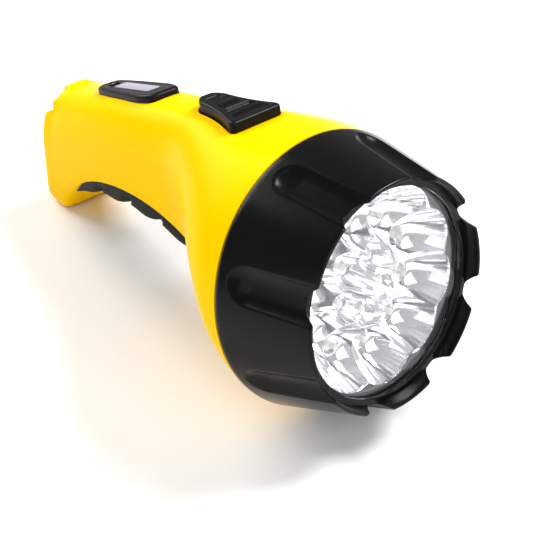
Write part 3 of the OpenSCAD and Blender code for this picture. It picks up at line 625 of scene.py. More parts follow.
def slide_button():
    """The button: a row across it at each share of its length, from one foot over the top to the other. The
    top has a sunk panel inside a rim, and three bars across the panel."""
    edge, rear_edge, rear_rows, corner, narrower = 0.9, 1.2, 0.6, 3.0, 2.6
    bar_places = (0.2, 0.38, 0.56)
    ease = np.linspace(0, np.pi / 2, 8)
    lengths = np.concatenate([edge * (1 - np.cos(ease)),
                              np.linspace(edge, BUTTON_LEN - rear_rows, 150)[1:],
                              BUTTON_LEN - rear_rows + rear_rows * np.sin(ease)[1:]])
    u = lengths / BUTTON_LEN
    w = np.maximum(button_width(u) - narrower / corner * quarter_drop(lengths, corner), 0.2)
    drop = quarter_drop(lengths, edge) + 0.75 * quarter_drop(BUTTON_LEN - lengths, rear_edge)
    h = BUTTON_H + BUTTON_RISE * u - drop
    phi = np.linspace(0, np.pi / 2, 7)
    r = np.minimum(edge, w * 0.45)[:, None]
    side_y, side_z = w[:, None] - r + r * np.cos(phi), h[:, None] - r + r * np.sin(phi)
    flat = np.linspace(1, -1, 72)[1:-1][None, :]
    top_y = (w[:, None] - r) * flat
    inner = (w[:, None] - 2.2) - np.abs(top_y)
    panel = smooth_step(2.2, 2.7, lengths) * (1 - smooth_step(23.0, 23.6, lengths))
    top_z = h[:, None] - 0.55 * smooth_step(0.0, 0.45, inner) * panel[:, None]
    for at in bar_places:
        bar = 1 - smooth_step(0.35, 0.75, np.abs(lengths - at * BUTTON_LEN))
        top_z = top_z + (0.95 * bar[:, None]) * smooth_step(0.25, 0.8, inner)
    foot = np.zeros((len(u), 1))
    y = np.concatenate([w[:, None], side_y, top_y, -side_y[:, ::-1], -w[:, None]], 1)
    z = np.concatenate([foot, side_z, top_z, side_z[:, ::-1], foot], 1)
    x = np.broadcast_to(-BUTTON_FRONT - lengths[:, None], y.shape)
    rows = np.stack([x, y, z + DECK_Z + RUN_GAP], -1)
    return mesh_object("slide_button", grid(from_head(rows)), 40)


# ---- Label plate

def from_plate(points):
    """Points over the plate's seat to scene millimetres: the seat leans with the handle's top about its
    own middle."""
    points = np.asarray(points, float)
    middle = (PLATE_FRONT + PLATE_REAR) / 2
    x, z = points[..., 0] - middle, points[..., 2]
    c, s = math.cos(PLATE_LEAN), math.sin(PLATE_LEAN)
    return from_head(np.stack([middle + x * c - z * s, points[..., 1], PLATE_Z + x * s + z * c], -1))


def plate_plan(grown):
    """Plan of the label plate as x and y, with its corners cut round by repeated corner cutting."""
    w, rear_w, front_w = 7.75, 4.65, 5.89
    half = np.array([[PLATE_REAR, 0], [PLATE_REAR, rear_w - 1], [PLATE_REAR + 3, rear_w + 1.6],
                     [PLATE_FRONT - 12, w], [PLATE_FRONT - 6, w], [PLATE_FRONT, front_w], [PLATE_FRONT, 0]])
    plan = np.concatenate([half[:-1], (half * [1, -1])[::-1][:-1]])
    for _ in range(3):
        following = np.roll(plan, -1, 0)
        plan = np.stack([0.75 * plan + 0.25 * following, 0.25 * plan + 0.75 * following], 1).reshape(-1, 2)
    return offset(plan, grown)


def offset(plan, distance):
    """A closed plan moved outwards by a distance along its own normals."""
    tangent = np.roll(plan, -1, 0) - np.roll(plan, 1, 0)
    normal = np.stack([tangent[:, 1], -tangent[:, 0]], -1)
    normal /= np.maximum(np.linalg.norm(normal, axis=1, keepdims=True), 1e-9)
    middle = plan.mean(0)
    sign = np.sign(np.sum(normal * (plan - middle), 1).sum())
    return plan + sign * distance * normal


def stack(name, plan, levels):
    """A flat piece on the plate's seat as copies of its plan: each level is a height and how far the plan
    moves outwards."""
    rows = [np.column_stack([offset(plan, grown), np.full(len(plan), z)]) for z, grown in levels]
    return mesh_object(name, grid(from_plate(np.stack(rows))), 30)


def rounded_plan(x0, x1, half, corner):
    """A rectangle with round corners as x and y."""
    a = round_angles(64) + np.pi / 128
    x = (x0 + x1) / 2 + np.sign(np.cos(a)) * ((x1 - x0) / 2 - corner) + corner * np.cos(a)
    return np.stack([x, np.sign(np.sin(a)) * (half - corner) + corner * np.sin(a)], -1)


def label_plate():
    """The plate: straight sides, a rounded edge, and a sunk field for the card."""
    edge = ((1.3, 0), (0.85, -0.1), (0.5, -0.35), (0.22, -0.75), (0.08, -1.2), (0.02, -1.6), (0.1, -1.8),
            (0.22, -2.0))
    return stack("label_plate_body", plate_plan(0), [(0, 0)] + [(PLATE_T - down, out) for down, out in edge])


def card():
    """The blank card in the plate's field."""
    plan = rounded_plan(PLATE_REAR + 10.5, PLATE_FRONT - 8, 2.9, 0.6)
    edge = ((0.5, 0), (0.12, 0), (0.04, -0.06), (0, -0.14))
    return stack("blank_card", plan, [(PLATE_T - down, out) for down, out in edge])


def indicator():
    """The charge indicator: a red dome and a bezel ring, each a profile carried round an upright line."""
    a = round_angles(40)

    def turned(profile):
        rows = [np.stack([INDICATOR_X + r * np.cos(a), r * np.sin(a), np.full_like(a, PLATE_T + z)], -1)
                for r, z in profile]
        return from_plate(np.stack(rows))
    e = np.linspace(0, np.pi / 2, 8)
    ball = np.column_stack([np.maximum(1.55 * np.cos(e), POINT_R), 0.9 * np.sin(e) - 0.5])
    dome = [(INDICATOR_R, -6 - PLATE_T), (INDICATOR_R, -0.5), *ball]
    lip = [(1.62, -0.4), (1.62, 0.2), (1.85, 0.32), (2.2, 0.1), (2.3, -0.4)]
    lamp = mesh_object("charge_dome", grid(turned(dome), poles=(False, True)))
    return lamp, mesh_object("charge_bezel", grid(turned(lip), along=True))


# ---- Grip

def rubber_grip(sizes):
    """The grip under the arch: its underside follows the arch at a depth that is thin at both ends and has a
    round hollow for each finger, and a curved crease runs up each side from every hollow."""
    grooves, deep = sizes.finger_grooves, sizes.groove_depth / MM
    arch_x, arch_z = arch_curve()
    u = np.linspace(0, 1, 241)[:, None]
    x = GRIP_FRONT + (GRIP_REAR - GRIP_FRONT) * u
    top = np.interp(x, arch_x, arch_z) - 0.1
    wave = 0.5 + 0.5 * np.cos(TURN * grooves * u)
    swell = np.maximum(np.sin(np.pi * u), 0)
    depth = 1 + (GRIP_T - 1) * swell ** 0.5 - deep * wave ** 0.8 * swell ** 0.3
    a = np.linspace(0, np.pi, 49)[None, :]
    low = 0.12 + 0.88 * np.sin(a) ** 0.42
    z = top - depth * low
    bow = grooves * (u + 0.026 * (1 - smooth_step(0.1, 0.95, low)) - 0.004)
    step = (bow + 0.5) % 1 - 0.5
    crease = np.exp(-(step / np.where(step > 0, 0.15, 0.03)) ** 2)
    crease = crease * np.minimum(swell * 3, 1) * smooth_step(0.2, 0.55, low)
    side = np.sign(np.cos(a)) * np.abs(np.cos(a)) ** 0.3
    y = -(16.9 - 5 * crease) * side
    rows = np.stack([np.broadcast_to(x, y.shape), y, z], -1)
    tuck = 1.2 * smooth_step(0.0, 0.06, u) * smooth_step(0.0, 0.06, 1 - u)
    right, left = (np.stack([x, np.full_like(x, y_side), top + tuck], -1) for y_side in (-16.5, 16.5))
    rows = np.concatenate([right, rows, left], 1)
    return mesh_object("finger_grip", grid(from_floor(rows)), 50)


# ---- Screws and thumb slide

def screw_heads():
    """Countersunk heads: a domed disc with a cross sunk into it, and the shank behind."""
    arm_len, arm_half, slot_depth, crown = 1.7, 0.32, 0.9, 0.35
    a = round_angles(96)[None, :]
    r = np.concatenate([[POINT_R], np.arange(1, 11) / 4, [SCREW_HEAD_R - 0.05, SCREW_HEAD_R]])[:, None]
    u, v = np.abs(r * np.cos(a)), np.abs(r * np.sin(a))
    arm = np.minimum(np.maximum(u - arm_len, v - arm_half), np.maximum(v - arm_len, u - arm_half))
    y = SCREW_HEAD_Y - crown * (r / SCREW_HEAD_R) ** 2 - slot_depth * (1 - smooth_step(-0.12, 0.12, arm))
    back = np.array([(SCREW_HEAD_R, 10.6), (2.3, 10.0), (SCREW_SHANK_R, 10.0), (SCREW_SHANK_R, -7.0),
                     (POINT_R, -8.0)])
    r = np.concatenate([r, back[:, :1]])
    y = np.concatenate([y, np.broadcast_to(back[:, 1:], (len(back), 96))])
    rows = np.stack([r * np.cos(a), y, r * np.sin(a)], -1)
    parts = [grid(from_floor(rows + [x, 0, z]), poles=(True, True)) for x, z in BOSSES]
    return mesh_object("case_screws", join(parts))


def thumb_slide():
    """The plug's slide: a bar out of the slot whose end carries rounded ridges."""
    low, high = low_high("plug_thumb_slide")
    round_y, round_in, ridge_depth, ridges = 1.2, 0.5, 0.25, 3
    middle, length = (low + high) / 2, high[0] - low[0]
    plan = rounded_plan(low[0], high[0], (high[2] - low[2]) / 2, 0.6)
    share = np.concatenate([[0], np.linspace(0, 1, 6)])
    level = high[1] - round_y + round_y * share
    level[0] = low[1]
    rows = []
    for y, inwards in zip(level, round_in * (1 - np.sqrt(1 - share ** 2))):
        x, z = offset(plan, -inwards).T
        ridge = ridge_depth * np.cos((x - middle[0]) / length * ridges * TURN) * (y > high[1] - 1)
        rows.append(np.stack([x, y + ridge, z + middle[2]], -1))
    return mesh_object("thumb_bar", grid(np.stack(rows)), 40)


# ---- Finishes

class Value:
    """A node socket in Python arithmetic. Each operation on it adds a Math node."""

    def __init__(self, tree, socket):
        self.tree = tree
        self.socket = socket

    def math(self, operation, *terms):
        """A Math node on the given values or sockets."""
        node = self.tree.nodes.new("ShaderNodeMath")
        node.operation = operation
        for slot, term in zip(node.inputs, terms):
            if isinstance(term, Value):
                self.tree.links.new(term.socket, slot)
            else:
                slot.default_value = term
        return Value(self.tree, node.outputs[0])

    def __add__(self, other):
        return self.math("ADD", self, other)

    __radd__ = __add__

    def __sub__(self, other):
        return self.math("SUBTRACT", self, other)

    def __rsub__(self, other):
        return self.math("SUBTRACT", other, self)

    def __mul__(self, other):
        return self.math("MULTIPLY", self, other)

    __rmul__ = __mul__

    def __pow__(self, other):
        return self.math("POWER", self, other)

    def clamp(self):
        """The value kept between 0 and 1."""
        return self.math("MINIMUM", self.math("MAXIMUM", self, 0.0), 1.0)


class Finish:
    """A material: constants on its Principled shader, and one method that adds any other node."""

    def __init__(self, name, **constants):
        self.material = bpy.data.materials.new(name)
        self.material.use_nodes = True
        self.tree = self.material.node_tree
        self.shader = self.tree.nodes["Principled BSDF"]
        self.place = self.node("ShaderNodeTexCoord", out="Object")
        for key, value in constants.items():
            self.shader.inputs[key.replace("_", " ")].default_value = value

    def node(self, kind, settings=None, inputs=None, out=0):
        """Adds a node: its settings first, then the values or links of its sockets. Returns one output."""
        node = self.tree.nodes.new(kind)
        for key, value in (settings or {}).items():
            setattr(node, key, value)
        for key, value in (inputs or {}).items():
            if isinstance(value, Value):
                self.tree.links.new(value.socket, node.inputs[key])
            else:
                node.inputs[key].default_value = value
        return Value(self.tree, node.outputs[out])

    def feed(self, socket, value):
        """Links a value into one of the shader's sockets."""
        self.tree.links.new(value.socket, self.shader.inputs[socket])
        return self

    def noise(self, size, detail=3.0, rough=0.5, stretch=None):
        """Fractal noise on object coordinates, with features of a size in metres. stretch draws it out."""
        where = self.place
        if stretch:
            where = self.node("ShaderNodeMapping", None, {"Vector": where, "Scale": stretch})
        return self.node("ShaderNodeTexNoise", None,
                         {"Vector": where, "Scale": 1.0 / size, "Detail": detail, "Roughness": rough}, "Fac")

    def cells(self, size):
        """Voronoi cells of a size in metres: the distance to the nearest cell's middle."""
        return self.node("ShaderNodeTexVoronoi", None,
                         {"Vector": self.place, "Scale": 1.0 / size}, "Distance")

    def bands(self, size):
        """Parallel waves of a size in metres along x."""
        return self.node("ShaderNodeTexWave", {"bands_direction": "X"},
                         {"Vector": self.place, "Scale": 0.314 / size}, "Fac")

    def mix(self, factor, a, b):
        """A colour between two colours."""
        return self.node("ShaderNodeMix", {"data_type": "RGBA"}, {0: factor, 6: a, 7: b}, 2)

    def bump(self, height, strength, distance):
        """Bump from a height, into the shader's normal."""
        return self.feed("Normal", self.node("ShaderNodeBump", None, {
            "Height": height, "Strength": strength, "Distance": distance}))


def rgb(r, g, b):
    """A linear colour with full alpha."""
    return (r, g, b, 1.0)


def grey(value):
    """A linear grey."""
    return rgb(value, value, value)


def moulded(name, colour, other, rough, vary, grain, bump, **constants):
    """Moulded plastic or rubber: colour drifts slowly between two tones, roughness drifts with broad handling
    marks, and a fine grain stands in the bump."""
    f = Finish(name, **constants)
    drift = f.noise(0.018, 2.0)
    marks = f.noise(0.006, 4.0, 0.6)
    f.feed("Base Color", f.mix(drift, colour, other))
    f.feed("Roughness", marks * vary + rough)
    return f.bump(f.noise(grain, 2.0), bump, 0.0002)


def metal(name, colour, other, rough, vary, direction, size, bump):
    """Metal: drawn or rolled lines along one axis and faint dulling in patches."""
    f = Finish(name, Metallic=1.0)
    lines = f.noise(size, 3.0, 0.6, direction)
    patches = f.noise(0.004, 3.0)
    f.feed("Base Color", f.mix(patches, colour, other))
    f.feed("Roughness", lines * vary + patches * vary * 0.5 + rough)
    return f.bump(lines, bump, 0.00005)


def yellow_case(colours):
    """Bright glossy shell plastic: hardly any drift in colour, faint flow ripples and fine scuffs."""
    tone = tuple(colours.shell)
    f = Finish("yellow_case_plastic", IOR=1.1, Specular_IOR_Level=0.25, Specular_Tint=rgb(1.0, 0.85, 0.1))
    flow = f.noise(0.03, 2.0, 0.5, (1.0, 1.6, 0.5))
    scuffs = f.noise(0.0016, 4.0, 0.7, (0.25, 1.0, 1.0))
    fine = (scuffs - 0.62).clamp() * 3.0
    f.feed("Base Color", f.mix(flow, tone, (tone[0], tone[1] * 0.965, tone[2], 1.0)))
    f.feed("Roughness", flow * 0.05 + fine * 0.25 + 0.2)
    return f.bump(flow + f.noise(0.0007, 1.0) * 0.03, 0.25, 0.0004)


def clear_plastic(name, tint, gloss):
    """Clear lens or dome: see-through, with gloss that grows at a glancing angle, and faint wipe marks."""
    f = Finish(name)
    clear = f.tree.nodes.new("ShaderNodeBsdfTransparent")
    shine = f.tree.nodes.new("ShaderNodeBsdfGlossy")
    blend = f.tree.nodes.new("ShaderNodeMixShader")
    clear.inputs["Color"].default_value = tint
    shine.inputs["Roughness"].default_value = 0.04
    edge = f.node("ShaderNodeLayerWeight", None, {"Blend": 0.5}, "Facing") ** 4.0 * 0.6 + gloss
    marks = (f.noise(0.009, 4.0, 0.6, (1.0, 0.35, 1.0)) - 0.52).clamp() * 0.12
    links = f.tree.links
    links.new((edge + marks).clamp().socket, blend.inputs[0])
    links.new(clear.outputs[0], blend.inputs[1])
    links.new(shine.outputs[0], blend.inputs[2])
    out = f.tree.nodes["Material Output"]
    links.new(blend.outputs[0], out.inputs["Surface"])
    f.tree.nodes.remove(f.shader)
    return f


def circuit():
    """Board lacquer over copper: lighter traces on a fine grid, plated dots, and a step at each trace."""
    f = Finish("green_lacquer_board", IOR=1.5)
    tracks = f.node("ShaderNodeTexBrick", {"offset": 0.37, "squash": 1.6, "squash_frequency": 3}, {
        "Vector": f.place, "Scale": 210.0, "Mortar Size": 0.06, "Mortar Smooth": 0.1, "Bias": 0.0,
        "Color1": grey(0), "Color2": grey(0), "Mortar": grey(1)}, "Fac")
    dots = 1 - (f.cells(0.0034) * 5.0 - 0.7).clamp()
    f.feed("Base Color", f.mix(dots, f.mix(tracks, rgb(0.01, 0.11, 0.035), rgb(0.03, 0.24, 0.08)),
                               rgb(0.62, 0.55, 0.36)))
    f.feed("Metallic", dots * 0.9)
    f.feed("Roughness", f.noise(0.002) * 0.15 + 0.25)
    return f.bump(tracks + dots, 0.4, 0.00008)


def battery_case():
    """Dark case plastic with moulded ribs and a matt spark texture."""
    f = Finish("battery_case_plastic")
    ribs = f.bands(0.004)
    f.feed("Base Color", f.mix(f.noise(0.01), rgb(0.035, 0.037, 0.045), rgb(0.06, 0.062, 0.07)))
    f.feed("Roughness", f.noise(0.0012) * 0.25 + 0.4)
    return f.bump(ribs ** 6.0 + f.noise(0.0004) * 0.1, 0.5, 0.0004)


def foam():
    """Open foam: round pores in a dull grey."""
    f = Finish("grey_foam_pad", Roughness=0.95)
    pores = f.cells(0.0011)
    f.feed("Base Color", f.mix(pores, rgb(0.06, 0.06, 0.065), rgb(0.22, 0.22, 0.23)))
    return f.bump(pores, 1.0, 0.0004)


def wound(name, body, stripe, size):
    """A dipped or printed component: body colour with a band that repeats along its length."""
    f = Finish(name)
    band = (f.bands(size) * 4.0 - 3.0).clamp()
    f.feed("Base Color", f.mix(band, body, stripe))
    f.feed("Roughness", f.noise(0.001) * 0.2 + 0.3)
    return f.bump(f.noise(0.0008), 0.3, 0.0001)


def chrome_cups():
    """Vacuum-metallised plastic with a faint orange-peel ripple and dust in patches, and a painted white glow
    from a weak emission that makes the unlit cups brighter.
    """
    # Painted light: the white emission makes the cups glow, though the lamp is not lit.
    f = Finish("chromed_cups_plating_painted_glow", Metallic=1.0, Emission_Color=grey(1), Emission_Strength=0.12)
    dust = f.noise(0.005, 4.0, 0.6)
    f.feed("Base Color", f.mix(dust, rgb(0.97, 0.97, 0.98), rgb(0.86, 0.87, 0.89)))
    f.feed("Roughness", dust * 0.08 + 0.05)
    return f.bump(f.noise(0.0035, 2.0), 0.12, 0.0003)


def pale_phosphor():
    """Phosphor over the chip: pale yellow, grainy."""
    f = Finish("led_phosphor", Roughness=0.6)
    f.feed("Base Color", f.mix(f.noise(0.0003), rgb(0.86, 0.86, 0.8), rgb(0.78, 0.77, 0.68)))
    return f.bump(f.cells(0.0003), 0.3, 0.00005)


def blank_card_paper(colours):
    """Satin film: pale, with faint brushed lines."""
    f = Finish("pale_card_film", IOR=1.45)
    lines = f.noise(0.0009, 3.0, 0.6, (0.06, 1.0, 1.0))
    tone = tuple(colours.card)
    f.feed("Base Color", f.mix(lines, tone, (tone[0] * 0.9, tone[1] * 0.9, tone[2] * 0.93, 1.0)))
    f.feed("Roughness", lines * 0.15 + 0.3)
    return f.bump(lines, 0.15, 0.00005)


def make_finishes(colours):
    """Every finish by the record's slot name."""
    black, rubber = tuple(colours.trim), tuple(colours.rubber)

    def lighter(colour, share):
        return rgb(*(c + share for c in colour[:3]))
    table = {
        "yellow_shell": yellow_case(colours),
        "black_ring": moulded("black_ring_satin", black, lighter(black, 0.002), 0.18, 0.08, 0.0006, 0.1,
                              Specular_IOR_Level=0.14),
        "black_trim": moulded("black_trim_plastic", black, lighter(black, 0.004), 0.28, 0.14, 0.0005, 0.15,
                              Specular_IOR_Level=0.12),
        "clear_lens": clear_plastic("clear_lens_plastic", rgb(0.99, 0.993, 1.0), 0.025),
        "led_resin": clear_plastic("clear_led_resin", grey(0.98), 0.06),
        "phosphor": pale_phosphor(),
        "chromed_cups": chrome_cups(),
        "soft_rubber": moulded("soft_seal_rubber", rgb(0.02, 0.02, 0.021), rgb(0.03, 0.03, 0.031), 0.6, 0.2,
                               0.0004, 0.3),
        "grip_rubber": moulded("grip_rubber_matt", rubber, lighter(rubber, 0.004), 0.42, 0.2, 0.00045, 0.4,
                               Specular_IOR_Level=0.12),
        "green_board": circuit(),
        "battery_case": battery_case(),
        "grey_foam": foam(),
        "pale_card": blank_card_paper(colours),
        "white_lever": moulded("white_lever_plastic", rgb(0.75, 0.74, 0.7), rgb(0.68, 0.67, 0.62), 0.4, 0.15,
                               0.0006, 0.2),
        "red_resin": moulded("red_dome_resin", rgb(0.06, 0.003, 0.002), rgb(0.09, 0.005, 0.003), 0.12, 0.1,
                             0.002, 0.1),
        "red_film": wound("red_film_capacitor", rgb(0.42, 0.03, 0.02), rgb(0.5, 0.06, 0.04), 0.006),
        "black_epoxy": wound("black_epoxy_diode", grey(0.012), rgb(0.55, 0.55, 0.53), 0.0072),
        "tan_resistor": wound("tan_banded_resistor", rgb(0.5, 0.36, 0.2), rgb(0.2, 0.05, 0.02), 0.0021),
        "red_lead": moulded("red_lead_sleeve", rgb(0.5, 0.01, 0.01), rgb(0.4, 0.01, 0.01), 0.35, 0.15,
                            0.001, 0.1),
        "black_lead": moulded("black_lead_sleeve", grey(0.015), grey(0.025), 0.35, 0.15, 0.001, 0.1),
        "screw_steel": metal("screw_zinc_steel", rgb(0.6, 0.6, 0.61), rgb(0.45, 0.46, 0.48), 0.25, 0.25,
                             (1, 0.2, 1), 0.0008, 0.3),
        "switch_can": metal("switch_tinned_can", rgb(0.7, 0.7, 0.69), grey(0.55), 0.3, 0.2,
                            (0.1, 1, 1), 0.0008, 0.3),
        "tinned_tab": metal("tinned_tab_metal", rgb(0.75, 0.74, 0.7), rgb(0.6, 0.59, 0.56), 0.3, 0.2,
                            (1, 1, 0.2), 0.0008, 0.3),
        "plated_pin": metal("nickel_plated_pin", rgb(0.72, 0.68, 0.6), rgb(0.6, 0.55, 0.46), 0.16, 0.2,
                            (0.1, 1, 1), 0.0006, 0.25),
        "spring_brass": metal("spring_brass_strip", rgb(0.72, 0.5, 0.2), rgb(0.55, 0.36, 0.14), 0.25, 0.2,
                              (0.1, 1, 1), 0.0008, 0.3),
    }
    return {slot: finish.material for slot, finish in table.items()}


MATERIALS = {}


def finish_piece(obj, slot, body, *nodes):
    """Gives a piece its finish and its place in the assembly, and hides the CAD nodes that it stands for."""
    coat(obj, slot)
    obj.data.polygons.foreach_set("material_index", np.zeros(len(obj.data.polygons), np.int32))
    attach(obj, body)
    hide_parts(*nodes)


def coat(obj, slot):
    """Gives an object a slot's finish alone. All finishes are made once, for the first piece."""
    if not MATERIALS:
        MATERIALS.update(make_finishes(bpy.context.scene.lamp_colours))
    obj.data.materials.clear()
    obj.data.materials.append(MATERIALS[slot])


CAD_FINISHES = {
    "led_board": "green_board", "board_screws": "screw_steel", "switch_lever": "white_lever",
    "slide_switch": "switch_can", "battery": "battery_case", "battery_terminals": "tinned_tab",
    "battery_pad": "grey_foam", "charger_board": "green_board", "dropper_capacitor": "red_film",
    "rectifier_diodes": "black_epoxy", "board_resistors": "tan_resistor", "plug_carriage": "black_trim",
    "plug_pins": "plated_pin", "charge_contacts": "spring_brass", "battery_leads": "red_lead",
    "lamp_leads": "black_lead",
}


# ---- Settings

class LampSizes(bpy.types.PropertyGroup):
    """Sizes of the finished surfaces."""

    flutes: bpy.props.IntProperty(
        name="Flutes", description="Flutes round the head ring", default=8, min=6, max=10)
    flute_radius: bpy.props.FloatProperty(
        name="Flute radius", description="Radius of a flute's round bottom", default=0.0086,
        subtype="DISTANCE", unit="LENGTH")
    thread_pitch: bpy.props.FloatProperty(
        name="Thread pitch", description="Travel of the head ring for each turn", default=0.003,
        subtype="DISTANCE", unit="LENGTH")
    outer_leds: bpy.props.IntProperty(
        name="Outer LEDs", description="Cups in the outer ring", default=10, min=8, max=12)
    inner_leds: bpy.props.IntProperty(
        name="Inner LEDs", description="Cups in the inner ring", default=5, min=4, max=6)
    finger_grooves: bpy.props.IntProperty(
        name="Finger grooves", description="Hollows in the grip", default=4, min=3, max=5)
    groove_depth: bpy.props.FloatProperty(
        name="Groove depth", description="Depth of a finger hollow", default=0.0016,
        subtype="DISTANCE", unit="LENGTH")
    parting_groove: bpy.props.FloatProperty(
        name="Parting line", description="Depth of the line where the shells meet", default=0.00012,
        subtype="DISTANCE", unit="LENGTH")


class LampColours(bpy.types.PropertyGroup):
    """Colours of the main finishes, linear."""

    shell: bpy.props.FloatVectorProperty(
        name="Shell", description="Colour of the case", default=(1.0, 0.6, 0.0, 1.0),
        size=4, subtype="COLOR", min=0, max=1)
    trim: bpy.props.FloatVectorProperty(
        name="Trim", description="Colour of the ring, button and plate", default=(0.0022, 0.002, 0.0024, 1.0),
        size=4, subtype="COLOR", min=0, max=1)
    rubber: bpy.props.FloatVectorProperty(
        name="Rubber", description="Colour of the grip", default=(0.006, 0.006, 0.007, 1.0),
        size=4, subtype="COLOR", min=0, max=1)
    card: bpy.props.FloatVectorProperty(
        name="Card", description="Colour of the blank card", default=(0.37, 0.34, 0.4, 1.0),
        size=4, subtype="COLOR", min=0, max=1)


# ---- Operators

class LAMP_OT_body(bpy.types.Operator):
    """Makes the two yellow shells"""
    bl_idname = "lamp.body"
    bl_label = "Body shells"

    def execute(self, context):
        sizes = context.scene.lamp_sizes
        finish_piece(body_shell(-1, sizes), "yellow_shell", "lamp_body", "body_right")
        finish_piece(body_shell(1, sizes), "yellow_shell", "lamp_body", "body_left")
        return {"FINISHED"}


class LAMP_OT_neck(bpy.types.Operator):
    """Makes the threaded neck under the head ring"""
    bl_idname = "lamp.neck"
    bl_label = "Neck thread"

    def execute(self, context):
        finish_piece(neck_thread(context.scene.lamp_sizes), "yellow_shell", "lamp_body",
                     "body_right", "body_left")
        return {"FINISHED"}


class LAMP_OT_ring(bpy.types.Operator):
    """Makes the fluted head ring"""
    bl_idname = "lamp.ring"
    bl_label = "Head ring"

    def execute(self, context):
        finish_piece(head_ring(context.scene.lamp_sizes), "black_ring", "head_ring", "head_ring")
        return {"FINISHED"}


class LAMP_OT_optics(bpy.types.Operator):
    """Makes the lens, its seal, the reflector and the LEDs"""
    bl_idname = "lamp.optics"
    bl_label = "Optics"

    def execute(self, context):
        sizes = context.scene.lamp_sizes
        finish_piece(lens_disc(), "clear_lens", "lens_stack", "lens")
        finish_piece(gasket_ring(), "soft_rubber", "lens_stack", "lens_gasket")
        finish_piece(reflector_cups(sizes), "chromed_cups", "lamp_body", "reflector")
        finish_piece(led_domes(sizes), "led_resin", "lamp_body", "leds")
        finish_piece(led_chips(sizes), "phosphor", "lamp_body", "leds")
        return {"FINISHED"}


class LAMP_OT_switch(bpy.types.Operator):
    """Makes the slide button"""
    bl_idname = "lamp.switch"
    bl_label = "Slide button"

    def execute(self, context):
        finish_piece(slide_button(), "black_trim", "switch_slider", "switch_button")
        return {"FINISHED"}


class LAMP_OT_label(bpy.types.Operator):
    """Makes the label plate, its blank card and the charge indicator"""
    bl_idname = "lamp.label"
    bl_label = "Label plate"

    def execute(self, context):
        finish_piece(label_plate(), "black_trim", "lamp_body", "label_plate")
        finish_piece(card(), "pale_card", "lamp_body", "label_card")
        lamp, bezel = indicator()
        finish_piece(lamp, "red_resin", "lamp_body", "charge_led")
        finish_piece(bezel, "black_trim", "lamp_body", "label_plate")
        return {"FINISHED"}


class LAMP_OT_grip(bpy.types.Operator):
    """Makes the rubber finger grip"""
    bl_idname = "lamp.grip"
    bl_label = "Grip"

    def execute(self, context):
        finish_piece(rubber_grip(context.scene.lamp_sizes), "grip_rubber", "lamp_body", "grip_insert")
        return {"FINISHED"}


class LAMP_OT_hardware(bpy.types.Operator):
    """Makes the case screws and the plug's thumb slide"""
    bl_idname = "lamp.hardware"
    bl_label = "Screws and slide"

    def execute(self, context):
        finish_piece(screw_heads(), "screw_steel", "lamp_body", "body_screws")
        finish_piece(thumb_slide(), "black_trim", "mains_plug", "plug_thumb_slide")
        return {"FINISHED"}


class LAMP_OT_inside(bpy.types.Operator):
    """Gives the inner parts their finishes"""
    bl_idname = "lamp.inside"
    bl_label = "Inner parts"

    def execute(self, context):
        for name, slot in CAD_FINISHES.items():
            coat(frame["nodes"][name], slot)
        return {"FINISHED"}


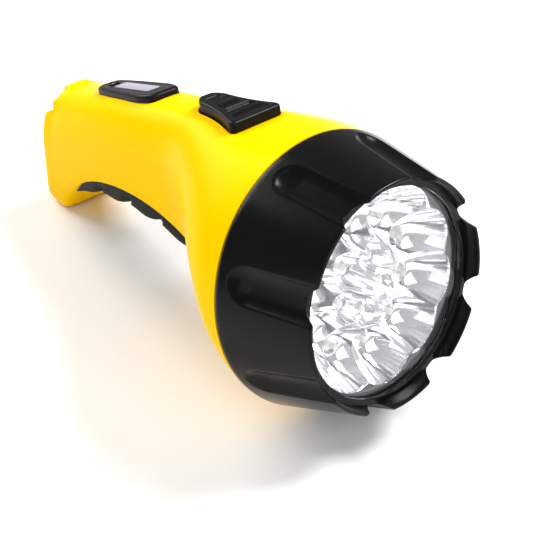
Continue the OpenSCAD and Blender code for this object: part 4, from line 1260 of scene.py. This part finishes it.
class LAMP_OT_stage(bpy.types.Operator):
    """Makes the floor, the lights and the camera"""
    bl_idname = "lamp.stage"
    bl_label = "Stage"

    def execute(self, context):
        scene = context.scene
        half, below = 6.0, -0.0004
        corners = [(-half, -half, below), (half, -half, below), (half, half, below), (-half, half, below)]
        floor = mesh_object("floor", (np.array(corners) / MM, np.array([[0, 1, 2, 3]]), []))
        paper = Finish("pale_floor_paper")
        paper.feed("Base Color", paper.mix(paper.noise(0.2), grey(0.86), grey(0.88)))
        paper.feed("Roughness", paper.noise(0.01) * 0.1 + 0.75)
        floor.data.materials.append(paper.material)
        world = bpy.data.worlds.new("studio")
        world.use_nodes = True
        background = world.node_tree.nodes["Background"]
        background.inputs["Color"].default_value = grey(1)
        background.inputs["Strength"].default_value = 0.32
        scene.world = world
        for light in (("key", (0.3, 0.65, 0.9), 0.4, 15.0), ("rear_top", (-0.9, -0.15, 0.75), 0.8, 12.0),
                      ("side_fill", (0.1, -1.1, 0.35), 0.7, 1.6), ("front", (0.95, -0.1, 0.75), 1.0, 6.0)):
            area_light(*light)
        scene.view_settings.view_transform = "Standard"
        lens = bpy.data.cameras.new("camera")
        lens.lens, lens.sensor_width, lens.clip_start, lens.clip_end = 57.81, 36.0, 0.01, 50.0
        camera = bpy.data.objects.new("camera", lens)
        tilt, turn = math.radians(38.09), math.radians(41.21)
        back = Vector((math.cos(turn) * math.cos(tilt), -math.sin(turn) * math.cos(tilt), math.sin(tilt)))
        camera.location = (0.20472, -0.1534, 0.2104)
        camera.rotation_euler = back.to_track_quat("Z", "Y").to_euler()
        scene.collection.objects.link(camera)
        scene.camera = camera
        return {"FINISHED"}


def area_light(name, place, size, power):
    """A square light that faces the lamp's middle. Place and size are in metres, power in watts."""
    data = bpy.data.lights.new(name, "AREA")
    data.size, data.energy = size, power
    light = bpy.data.objects.new(name, data)
    light.location = place
    light.rotation_euler = (Vector(place) - Vector((0, 0, 0.04))).to_track_quat("Z", "Y").to_euler()
    bpy.context.scene.collection.objects.link(light)


OPERATORS = (LAMP_OT_body, LAMP_OT_neck, LAMP_OT_ring, LAMP_OT_optics, LAMP_OT_switch, LAMP_OT_label,
             LAMP_OT_grip, LAMP_OT_hardware, LAMP_OT_inside, LAMP_OT_stage)


class LAMP_PT_panel(bpy.types.Panel):
    """Lists the steps and settings of the lamp"""
    bl_label = "Hand lamp"
    bl_idname = "LAMP_PT_panel"
    bl_space_type = "VIEW_3D"
    bl_region_type = "UI"
    bl_category = "Lamp"

    def draw(self, context):
        for step in OPERATORS:
            self.layout.operator(step.bl_idname)
        for group in (context.scene.lamp_sizes, context.scene.lamp_colours):
            for key in type(group).__annotations__:
                self.layout.prop(group, key)


CLASSES = (LampSizes, LampColours, *OPERATORS, LAMP_PT_panel)


def register():
    """Registers the classes and puts the settings on the scene."""
    for kind in CLASSES:
        bpy.utils.register_class(kind)
    bpy.types.Scene.lamp_sizes = bpy.props.PointerProperty(type=LampSizes)
    bpy.types.Scene.lamp_colours = bpy.props.PointerProperty(type=LampColours)


def unregister():
    """Takes the settings off the scene and unregisters the classes."""
    del bpy.types.Scene.lamp_colours
    del bpy.types.Scene.lamp_sizes
    for kind in reversed(CLASSES):
        bpy.utils.unregister_class(kind)


def main():
    """Builds every piece."""
    register()
    ops = bpy.ops.lamp
    for step in (ops.body, ops.neck, ops.ring, ops.optics, ops.switch, ops.label, ops.grip, ops.hardware,
                 ops.inside, ops.stage):
        step()
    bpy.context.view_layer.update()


if __name__ == "__main__":
    main()
